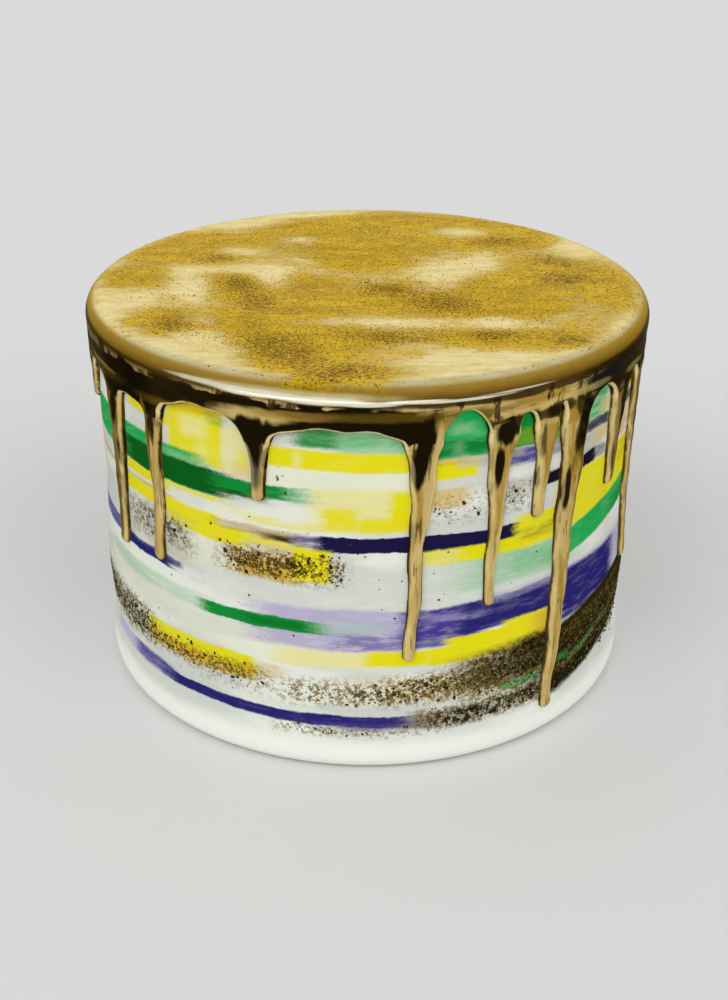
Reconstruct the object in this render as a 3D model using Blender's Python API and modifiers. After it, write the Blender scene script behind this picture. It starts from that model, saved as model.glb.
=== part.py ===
"""A tall round celebration cake in smooth white icing, under a poured gold glaze that runs down it in drips.

Two solids: the iced cake, with the largest sugar grains fused to its side, and the gold glaze, which is one
skin over the top and rim with its drips. Metres, +Z up, origin at the centre of the cake's base, front at -Y.
Angles run round the cake from the front, positive towards +X.
"""

import math
import random
from collections import namedtuple

import bmesh
import bpy
from mathutils import Matrix, Vector

# Driving dimensions
CAKE_HEIGHT = 0.150
SIDE_RADIUS = 0.103
GLAZE_RADIUS = 0.1060
GLAZE_ON_TOP = 0.0020
GLAZE_ON_SIDE = 0.0027
SKIN_GAP = 0.0003

# The iced side, not quite straight: (height, how far it stands out from SIDE_RADIUS)
SIDE_WAVER = [
    (0.012, 0.0008),
    (0.023, -0.0002),
    (0.045, 0.0007),
    (0.085, -0.0005),
    (0.120, 0.0),
]
FOOT_ROUND = 0.006
CAKE_EDGE_ROUND = 0.004
GLAZE_EDGE_ROUND = 0.0065
EDGE_BEAD = 0.0015
TOP_RIPPLE = 0.0004

# A drip leaves the glaze's edge at top_angle, hangs to tip_height at tip_angle, and is as wide as named at its
# top, midway and above its tip. From it to the next drip the glaze's edge arches up to the height crown.
Drip = namedtuple("Drip", "top_angle tip_angle tip_height wide midway narrow crown")
DRIPS = [
    Drip(-75.0, -76.0, 0.1130, 0.0080, 0.0064, 0.0050, 0.1315),
    Drip(-59.0, -59.0, 0.0660, 0.0116, 0.0080, 0.0054, 0.1290),
    Drip(-44.8, -44.8, 0.0695, 0.0080, 0.0054, 0.0050, 0.1355),
    Drip(-20.4, -20.2, 0.1050, 0.0080, 0.0050, 0.0044, 0.1335),
    Drip(10.6, 8.5, 0.0465, 0.0102, 0.0052, 0.0040, 0.1385),
    Drip(25.7, 24.2, 0.0640, 0.0096, 0.0056, 0.0034, 0.1350),
    Drip(35.4, 34.9, 0.0935, 0.0086, 0.0062, 0.0044, 0.1350),
    Drip(43.6, 39.8, 0.0125, 0.0124, 0.0082, 0.0044, 0.1335),
    Drip(59.4, 57.2, 0.0925, 0.0112, 0.0080, 0.0052, 0.1325),
    Drip(71.5, 70.0, 0.0520, 0.0090, 0.0060, 0.0046, 0.1340),
    Drip(84.0, 84.0, 0.0990, 0.0078, 0.0060, 0.0046, 0.1325),
    Drip(97.5, 96.0, 0.0600, 0.0100, 0.0064, 0.0044, 0.1360),
    Drip(112.0, 112.5, 0.1060, 0.0080, 0.0056, 0.0044, 0.1330),
    Drip(127.0, 126.0, 0.0790, 0.0092, 0.0066, 0.0046, 0.1345),
    Drip(141.0, 142.5, 0.0310, 0.0114, 0.0074, 0.0044, 0.1320),
    Drip(158.0, 158.0, 0.0900, 0.0086, 0.0062, 0.0046, 0.1365),
    Drip(176.0, 175.0, 0.0620, 0.0102, 0.0060, 0.0042, 0.1335),
    Drip(190.0, 190.0, 0.1070, 0.0080, 0.0060, 0.0048, 0.1350),
    Drip(205.0, 204.0, 0.0470, 0.0104, 0.0066, 0.0042, 0.1325),
    Drip(221.0, 222.0, 0.0860, 0.0088, 0.0060, 0.0046, 0.1360),
    Drip(236.0, 234.5, 0.0230, 0.0118, 0.0076, 0.0044, 0.1330),
    Drip(251.0, 251.0, 0.0970, 0.0084, 0.0058, 0.0044, 0.1340),
    Drip(267.0, 266.0, 0.0640, 0.0096, 0.0064, 0.0046, 0.1325),
]
EDGE_AT_DRIP = 0.1275
ARCH_FULLNESS = 0.6
DRIP_SHOULDER = 0.42
DRIP_THICKNESS = 0.0023
MIDWAY = 0.45
FLARE_WIDTH = 0.0024
FLARE_REACH = 0.0045
HIDDEN_END = 0.6

# Where the coarse sugar grains lie: (from angle, to angle, lowest, highest, how many)
GRAIN_BANDS = [
    (-4.0, 38.0, 0.027, 0.039, 20),
    (10.0, 38.0, 0.017, 0.024, 9),
    (44.0, 74.0, 0.021, 0.044, 21),
    (-54.0, -20.0, 0.031, 0.041, 10),
    (-72.0, -50.0, 0.031, 0.043, 7),
    (-30.0, -6.0, 0.076, 0.087, 14),
    (-54.0, -40.0, 0.077, 0.087, 5),
    (14.0, 34.0, 0.099, 0.108, 4),
    (100.0, 160.0, 0.046, 0.056, 11),
    (190.0, 250.0, 0.027, 0.038, 11),
]
GRAIN_WIDTH = (0.0016, 0.0022)
GRAIN_PROUD = 0.0005
GRAIN_CLEAR_OF_DRIP = 0.0022
GRAIN_SEED = 4

STEPS_AROUND = 100
SIDE_RINGS = (0.120, 0.100, 0.085, 0.065, 0.045, 0.023, 0.014)
DRIP_STEPS = 6
TIP_STEPS = 2
DRIP_BEVEL = 3
MERGE = 0.00001

WHITE_ICING = ("white_icing", (0.90, 0.90, 0.84, 1.0), 0.42, 0.0)
GOLD_GLAZE = ("gold_glaze", (0.72, 0.50, 0.17, 1.0), 0.24, 1.0)


def clear_scene():
    for old in list(bpy.data.objects):
        bpy.data.objects.remove(old)


def collection(name):
    made = bpy.data.collections.new(name)
    bpy.context.scene.collection.children.link(made)
    return made


def material(name, colour, roughness, metallic):
    made = bpy.data.materials.new(name)
    made.use_nodes = True
    shader = made.node_tree.nodes["Principled BSDF"]
    shader.inputs["Base Color"].default_value = colour
    shader.inputs["Roughness"].default_value = roughness
    shader.inputs["Metallic"].default_value = metallic
    return made


def arc(centre, radii, start, end, steps):
    """Points of a quarter ellipse in the profile's plane; angles in degrees, 0 outwards and 90 up."""
    points = []
    for i in range(steps + 1):
        a = math.radians(start + (end - start) * i / steps)
        points.append((centre[0] + radii[0] * math.cos(a), centre[1] + radii[1] * math.sin(a)))
    return points


def on_side(angle, radius, height):
    a = math.radians(angle)
    return Vector((radius * math.sin(a), -radius * math.cos(a), height))


def angle_of(point):
    return math.degrees(math.atan2(point.x, -point.y))


def side_radius(height):
    """The iced side's radius at a height, smooth between the named wavers."""
    heights = [z for z, _ in SIDE_WAVER]
    if height <= heights[0]:
        return SIDE_RADIUS + SIDE_WAVER[0][1]
    if height >= heights[-1]:
        return SIDE_RADIUS + SIDE_WAVER[-1][1]
    for (z0, r0), (z1, r1) in zip(SIDE_WAVER, SIDE_WAVER[1:]):
        if height <= z1:
            share = (height - z0) / (z1 - z0)
            return SIDE_RADIUS + r0 + (r1 - r0) * (0.5 - 0.5 * math.cos(math.pi * share))


def cake_profile(grow=0.0):
    """The cake's half section from the axis at the top, down its side to the axis at the base."""
    top = CAKE_HEIGHT - GLAZE_ON_TOP - SKIN_GAP + grow
    shoulder = side_radius(top) - CAKE_EDGE_ROUND
    foot = side_radius(FOOT_ROUND)
    points = [(0.0, top)]
    edge = (CAKE_EDGE_ROUND + grow,) * 2
    points += arc((shoulder, top - edge[1]), edge, 90, 0, 3)
    points += [(side_radius(z) + grow, z) for z in SIDE_RINGS]
    points += arc((foot - FOOT_ROUND, FOOT_ROUND), (FOOT_ROUND + grow,) * 2, 0, -90, 4)
    points.append((0.0, -grow))
    return points


def revolve(name, profile, into):
    """A closed half section turned round the Z axis."""
    mesh = bpy.data.meshes.new(name)
    edges = [(i, i + 1) for i in range(len(profile) - 1)]
    mesh.from_pydata([(r, 0.0, z) for r, z in profile], edges, [])
    made = bpy.data.objects.new(name, mesh)
    into.objects.link(made)
    turn = made.modifiers.new("turn", "SCREW")
    turn.steps = STEPS_AROUND
    turn.render_steps = STEPS_AROUND
    turn.use_merge_vertices = True
    turn.merge_threshold = MERGE
    return made


def bake(obj):
    """Applies the modifiers, or makes a curve a mesh with its caps welded."""
    graph = bpy.context.evaluated_depsgraph_get()
    mesh = bpy.data.meshes.new_from_object(obj.evaluated_get(graph), depsgraph=graph)
    was_curve = obj.type == "CURVE"
    if was_curve:
        weld = bmesh.new()
        weld.from_mesh(mesh)
        bmesh.ops.remove_doubles(weld, verts=weld.verts, dist=MERGE)
        weld.to_mesh(mesh)
        weld.free()
        made = bpy.data.objects.new(obj.name, mesh)
        made.matrix_world = obj.matrix_world
        for home in obj.users_collection:
            home.objects.link(made)
        bpy.data.objects.remove(obj)
        return made
    obj.modifiers.clear()
    obj.data = mesh
    return obj


def boolean(obj, operation, others, solver="EXACT"):
    """Joins or cuts with one collection, and removes its objects."""
    step = obj.modifiers.new(operation.lower(), "BOOLEAN")
    step.operation = operation
    step.operand_type = "COLLECTION"
    step.collection = others
    step.solver = solver
    bake(obj)
    for used in list(others.objects):
        bpy.data.objects.remove(used)


def fallen(drip, height):
    """How far down the drip a height is: 0 where it leaves the edge, 1 at its tip."""
    return min(1.0, max(0.0, (EDGE_AT_DRIP - height) / (EDGE_AT_DRIP - drip.tip_height)))


def drop_loose_scraps(obj):
    """Keeps the largest joined body, and drops the slivers that a Boolean can leave."""
    shape = bmesh.new()
    shape.from_mesh(obj.data)
    unvisited = set(shape.verts)
    bodies = []
    while unvisited:
        front = [unvisited.pop()]
        body = []
        while front:
            vertex = front.pop()
            body.append(vertex)
            for edge in vertex.link_edges:
                other = edge.other_vert(vertex)
                if other in unvisited:
                    unvisited.remove(other)
                    front.append(other)
        bodies.append(body)
    bodies.sort(key=len)
    for body in bodies[:-1]:
        bmesh.ops.delete(shape, geom=body, context="VERTS")
    shape.to_mesh(obj.data)
    shape.free()


def drip_angle(drip, height):
    return drip.top_angle + (drip.tip_angle - drip.top_angle) * fallen(drip, height)


def drip_width(drip, height):
    """From the top width to the midway width and on to the narrow one, with a flare where it leaves the edge.

    Above the edge the strand narrows again, so that its end stays hidden in the glaze.
    """
    share = fallen(drip, height)
    if share < MIDWAY:
        start, end, along = drip.wide, drip.midway, share / MIDWAY
    else:
        start, end, along = drip.midway, drip.narrow, (share - MIDWAY) / (1 - MIDWAY)
    flare = FLARE_WIDTH * math.exp(-max(0.0, EDGE_AT_DRIP - height) / FLARE_REACH)
    above_edge = max(0.0, height - EDGE_AT_DRIP) / (HIDDEN_END * drip.wide)
    return (start + (end - start) * along + flare) * (1 - (1 - HIDDEN_END) * above_edge)


def drip_heights(drip):
    """Heights down the drip's centre line, closer together at its flare and round its tip."""
    start = EDGE_AT_DRIP + HIDDEN_END * drip.wide
    straight_end = drip.tip_height + drip.narrow / 2
    heights = []
    for i in range(DRIP_STEPS):
        heights.append(start + (straight_end - start) * (i / DRIP_STEPS) ** 1.3)
    for i in range(TIP_STEPS + 1):
        heights.append(drip.tip_height + drip.narrow / 2 * (1 - math.sin(math.pi / 2 * i / (TIP_STEPS + 0.5))))
    return heights


def make_drip(drip, number, into):
    """A tapered strand, sunk in the side so far that what stands proud has the drip's width and thickness."""
    curve = bpy.data.curves.new(f"drip_{number}", "CURVE")
    curve.dimensions = "3D"
    curve.bevel_depth = 1.0
    curve.bevel_resolution = DRIP_BEVEL
    curve.use_fill_caps = True
    heights = drip_heights(drip)
    spline = curve.splines.new("POLY")
    spline.points.add(len(heights) - 1)
    for point, z in zip(spline.points, heights):
        above_tip = min(1.0, (z - drip.tip_height) / (drip.narrow / 2))
        half = drip_width(drip, z) / 2 * math.sqrt(max(0.0, 1 - (1 - above_tip) ** 2))
        proud = min(DRIP_THICKNESS, half)
        radius = (half**2 + proud**2) / (2 * proud)
        centre = on_side(drip_angle(drip, z), side_radius(z) + SKIN_GAP + proud - radius, z)
        point.co = (*centre, 1.0)
        point.radius = radius
    made = bpy.data.objects.new(f"drip_{number}", curve)
    into.objects.link(made)
    return bake(made)


def shoulder_angle(drip):
    """Half the angle that the drip takes up where it leaves the edge."""
    return math.degrees(DRIP_SHOULDER * drip.wide / SIDE_RADIUS)


def edge_height(angle):
    """The glaze's lower edge: level across each drip, with an arch from one drip to the next."""
    for drip, after in zip(DRIPS, DRIPS[1:] + DRIPS[:1]):
        span = (after.top_angle - drip.top_angle) % 360
        along = (angle - drip.top_angle) % 360
        if along <= span:
            gap = span - shoulder_angle(drip) - shoulder_angle(after)
            share = min(1.0, max(0.0, (along - shoulder_angle(drip)) / gap))
            return EDGE_AT_DRIP + (drip.crown - EDGE_AT_DRIP) * math.sin(math.pi * share) ** ARCH_FULLNESS
    return EDGE_AT_DRIP


def top_ripple(x, y):
    """Low waves in the poured top, dying out where its rim begins to round over."""
    reach = max(0.0, 1 - (math.hypot(x, y) / (GLAZE_RADIUS - GLAZE_EDGE_ROUND)) ** 4)
    waves = math.sin(55 * x + 30 * y + 0.6) + 0.7 * math.sin(90 * y - 35 * x)
    return -TOP_RIPPLE * reach * (1 + 0.5 * waves)


def make_glaze(parts, scraps, cutters):
    """One skin over the top and rim, with a beaded wavy edge, its drips, and the cake's shape cut out of it."""
    rim_radius = GLAZE_RADIUS - GLAZE_EDGE_ROUND
    rim_height = CAKE_HEIGHT - GLAZE_EDGE_ROUND
    bead_radius = SIDE_RADIUS + GLAZE_ON_SIDE - EDGE_BEAD
    inside = SIDE_RADIUS - GLAZE_ON_TOP
    underside = CAKE_HEIGHT - 2 * GLAZE_ON_TOP
    profile = [(0.0, CAKE_HEIGHT), (0.4 * rim_radius, CAKE_HEIGHT), (0.75 * rim_radius, CAKE_HEIGHT)]
    profile += arc((rim_radius, rim_height), (GLAZE_EDGE_ROUND, GLAZE_EDGE_ROUND), 90, 0, 4)
    profile += arc((bead_radius, EDGE_AT_DRIP + EDGE_BEAD), (EDGE_BEAD, EDGE_BEAD), 0, -90, 2)
    profile += [(inside, EDGE_AT_DRIP), (inside, underside), (0.0, underside)]
    glaze = bake(revolve("gold_glaze", profile, parts))

    for vertex in glaze.data.vertices:
        co = vertex.co
        if co.z < underside - MERGE:
            share = min(1.0, max(0.0, (rim_height - co.z) / (rim_height - EDGE_AT_DRIP)))
            co.z += share * (edge_height(angle_of(co)) - EDGE_AT_DRIP)
        elif co.z > CAKE_HEIGHT - MERGE:
            co.z += top_ripple(co.x, co.y)

    for number, drip in enumerate(DRIPS):
        make_drip(drip, number, scraps)
    boolean(glaze, "UNION", scraps)
    revolve("cake_with_gap", cake_profile(SKIN_GAP), cutters)
    boolean(glaze, "DIFFERENCE", cutters, solver="MANIFOLD")
    drop_loose_scraps(glaze)
    return glaze


def clear_of_drips(angle, height, radius):
    for drip in DRIPS:
        if height < drip.tip_height - GRAIN_CLEAR_OF_DRIP:
            continue
        off = (angle - drip_angle(drip, height) + 180) % 360 - 180
        if abs(math.radians(off)) * SIDE_RADIUS < drip_width(drip, height) / 2 + radius + GRAIN_CLEAR_OF_DRIP:
            return False
    return True


def grain_places():
    """Angle, height and radius of each grain, spread evenly over its band and clear of the drips."""
    draw = random.Random(GRAIN_SEED)
    places = []
    for start, end, low, high, count in GRAIN_BANDS:
        for i in range(count):
            for _ in range(30):
                angle = start + (end - start) * (i + draw.random()) / count
                height = draw.uniform(low, high)
                radius = draw.uniform(*GRAIN_WIDTH) / 2
                here = on_side(angle, SIDE_RADIUS, height)
                spaced = all((here - on_side(a, SIDE_RADIUS, z)).length > radius + r for a, z, r in places)
                if spaced and clear_of_drips(angle, height, radius):
                    places.append((angle, height, radius))
                    break
    return places


def make_grain(place, number, into):
    """A low rough pebble of sugar, half sunk in the icing."""
    angle, height, radius = place
    grain = bmesh.new()
    bmesh.ops.create_uvsphere(grain, u_segments=5, v_segments=4, radius=radius)
    proud = GRAIN_PROUD * radius * 2 / GRAIN_WIDTH[1]
    centre = on_side(angle, side_radius(height) + proud - 0.6 * radius, height)
    flatten = Matrix.Diagonal((1.0, 0.6, 0.8, 1.0))
    tumble = Matrix.Rotation(number * 1.3, 4, "Y")
    face_out = Matrix.Rotation(math.radians(angle), 4, "Z")
    bmesh.ops.transform(grain, matrix=Matrix.Translation(centre) @ face_out @ tumble @ flatten, verts=grain.verts)
    mesh = bpy.data.meshes.new(f"grain_{number}")
    grain.to_mesh(mesh)
    grain.free()
    into.objects.link(bpy.data.objects.new(f"grain_{number}", mesh))


def make_cake(parts, scraps):
    cake = bake(revolve("cake_body", cake_profile(), parts))
    for number, place in enumerate(grain_places()):
        make_grain(place, number, scraps)
    boolean(cake, "UNION", scraps)
    return cake


def finish_surface(obj, look):
    obj.data.materials.clear()
    obj.data.materials.append(material(*look))
    obj.data.shade_smooth()
    obj.data.set_sharp_from_angle(angle=math.radians(40))


def main():
    clear_scene()
    parts = collection("drip_cake")
    scraps = collection("joined_pieces")
    cutters = collection("cutters")
    finish_surface(make_cake(parts, scraps), WHITE_ICING)
    finish_surface(make_glaze(parts, scraps, cutters), GOLD_GLAZE)


main()
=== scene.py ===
"""The looks of the drip cake: white icing with painted strokes, sugar flecks and a poured gold glaze.

Lengths are in metres and angles in degrees. An angle goes round the cake from the front, positive towards +X.
"""

import math
import random
from collections import namedtuple

import bmesh
import bpy
import numpy as np
from mathutils import Matrix, Vector


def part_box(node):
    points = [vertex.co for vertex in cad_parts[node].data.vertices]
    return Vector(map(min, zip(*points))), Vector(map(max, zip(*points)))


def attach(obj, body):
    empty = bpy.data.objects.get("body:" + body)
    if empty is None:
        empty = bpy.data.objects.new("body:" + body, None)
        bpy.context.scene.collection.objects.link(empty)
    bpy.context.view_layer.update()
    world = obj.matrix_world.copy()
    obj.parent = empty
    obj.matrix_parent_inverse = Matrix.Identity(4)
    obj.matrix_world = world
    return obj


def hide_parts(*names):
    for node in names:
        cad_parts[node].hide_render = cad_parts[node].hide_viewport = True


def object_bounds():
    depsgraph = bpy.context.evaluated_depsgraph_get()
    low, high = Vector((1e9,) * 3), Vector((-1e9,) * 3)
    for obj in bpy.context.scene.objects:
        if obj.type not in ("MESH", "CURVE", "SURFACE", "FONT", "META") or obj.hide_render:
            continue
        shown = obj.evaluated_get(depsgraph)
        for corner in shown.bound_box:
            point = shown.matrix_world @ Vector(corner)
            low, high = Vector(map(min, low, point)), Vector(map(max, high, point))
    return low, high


MM = 0.001
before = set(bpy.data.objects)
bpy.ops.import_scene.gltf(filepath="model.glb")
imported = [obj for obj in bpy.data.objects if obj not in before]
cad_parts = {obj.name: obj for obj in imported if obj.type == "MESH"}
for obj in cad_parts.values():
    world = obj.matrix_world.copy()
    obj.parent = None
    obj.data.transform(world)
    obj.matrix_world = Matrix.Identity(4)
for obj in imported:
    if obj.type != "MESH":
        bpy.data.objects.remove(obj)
cad_low, cad_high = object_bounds()

# The form, as in the solids
CAKE_HEIGHT = cad_high.z
GLAZE_RADIUS = cad_high.x
CAKE_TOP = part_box("cake_body")[1].z
SIDE_RADIUS = GLAZE_RADIUS - 3.0 * MM
SIDE_WAVER = [
    (0.012, 0.0008),
    (0.023, -0.0002),
    (0.045, 0.0007),
    (0.085, -0.0005),
    (0.120, 0.0),
]
FOOT_ROUND = 6 * MM
CAKE_EDGE_ROUND = 4 * MM
GLAZE_EDGE_ROUND = 6.5 * MM
GLAZE_ON_SIDE = 2.7 * MM
EDGE_AT_DRIP = 0.1275
ARCH_FULLNESS = 0.6
DRIP_SHOULDER = 0.42
DRIP_THICKNESS = 2.3 * MM
MIDWAY = 0.45
FLARE_WIDTH = 2.4 * MM
FLARE_REACH = 4.5 * MM


def table(kind, *rows):
    return [kind(*row) for row in rows]


Drip = namedtuple("Drip", "top_angle tip_angle tip_height wide midway narrow crown")
DRIPS = table(
    Drip,
    (-75, -76, 0.113, 0.008, 0.0064, 0.005, 0.1315),
    (-59, -59, 0.066, 0.0116, 0.008, 0.0054, 0.129),
    (-44.8, -44.8, 0.0695, 0.008, 0.0054, 0.005, 0.1355),
    (-20.4, -20.2, 0.105, 0.008, 0.005, 0.0044, 0.1335),
    (10.6, 8.5, 0.0465, 0.0102, 0.0052, 0.004, 0.1385),
    (25.7, 24.2, 0.064, 0.0096, 0.0056, 0.0034, 0.135),
    (35.4, 34.9, 0.0935, 0.0086, 0.0062, 0.0044, 0.135),
    (43.6, 39.8, 0.0125, 0.0124, 0.0082, 0.0044, 0.1335),
    (59.4, 57.2, 0.0925, 0.0112, 0.008, 0.0052, 0.1325),
    (71.5, 70, 0.052, 0.009, 0.006, 0.0046, 0.134),
    (84, 84, 0.099, 0.0078, 0.006, 0.0046, 0.1325),
    (97.5, 96, 0.06, 0.01, 0.0064, 0.0044, 0.136),
    (112, 112.5, 0.106, 0.008, 0.0056, 0.0044, 0.133),
    (127, 126, 0.079, 0.0092, 0.0066, 0.0046, 0.1345),
    (141, 142.5, 0.031, 0.0114, 0.0074, 0.0044, 0.132),
    (158, 158, 0.09, 0.0086, 0.0062, 0.0046, 0.1365),
    (176, 175, 0.062, 0.0102, 0.006, 0.0042, 0.1335),
    (190, 190, 0.107, 0.008, 0.006, 0.0048, 0.135),
    (205, 204, 0.047, 0.0104, 0.0066, 0.0042, 0.1325),
    (221, 222, 0.086, 0.0088, 0.006, 0.0046, 0.136),
    (236, 234.5, 0.023, 0.0118, 0.0076, 0.0044, 0.133),
    (251, 251, 0.097, 0.0084, 0.0058, 0.0044, 0.134),
    (267, 266, 0.064, 0.0096, 0.0064, 0.0046, 0.1325),
)

# Colours as seen in soft white light
PAINTS = {
    "white": "EAEDE1", "foot_white": "F6F9EE", "grey_white": "D2D6CD", "cream": "EAECCF",
    "pale_yellow": "EDE698", "yellow": "E9DF00", "deep_yellow": "D4B000", "orange": "D6A030",
    "peach": "DCC27A", "bronze": "846812", "dark_bronze": "221D08", "khaki": "857340", "tan": "B89340",
    "pale_gold": "DCC078", "bright_gold": "EEDFA0", "brown": "6E5418", "olive_brown": "4C4420",
    # The first paint on the next line is for dark reflections and shade painted into the gold, the second for
    # painted highlights
    "painted_dark": "1A1206", "highlight": "F6F0D8", "grey": "B8B4A6", "smoke": "2E2A38", "night": "1A1628",
    "deep_green": "0A5E1C", "green": "0A8C36", "mid_green": "10AC50", "lime": "72A828",
    "pale_green": "9CCCA0", "navy": "1E1942", "purple": "2B2670", "violet": "4A3C92", "lavender": "B2AACC",
    "shaded_rim_gold": "B4923E", "dull_champagne": "CCB670", "champagne": "D8CA98", "champagne_sheen": "E4DDBA",
    "dark_ochre": "B08A00", "ochre": "D4AE14", "gritty_ochre": "967000", "ochre_speck": "6A4E04",
    "ochre_glint": "EAD048", "rim_shade": "4E3610", "rim_brown": "8A6820", "warm_tint": "FFECA8",
    "dark_sugar": "201B08", "light_dark_sugar": "846E2A", "bronze_sugar": "644A00",
    "light_bronze_sugar": "BA9410", "gold_sugar": "A07C00", "light_gold_sugar": "EACE30", "floor": "DDDDDD",
    "flag": "1A120A",
}

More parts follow.
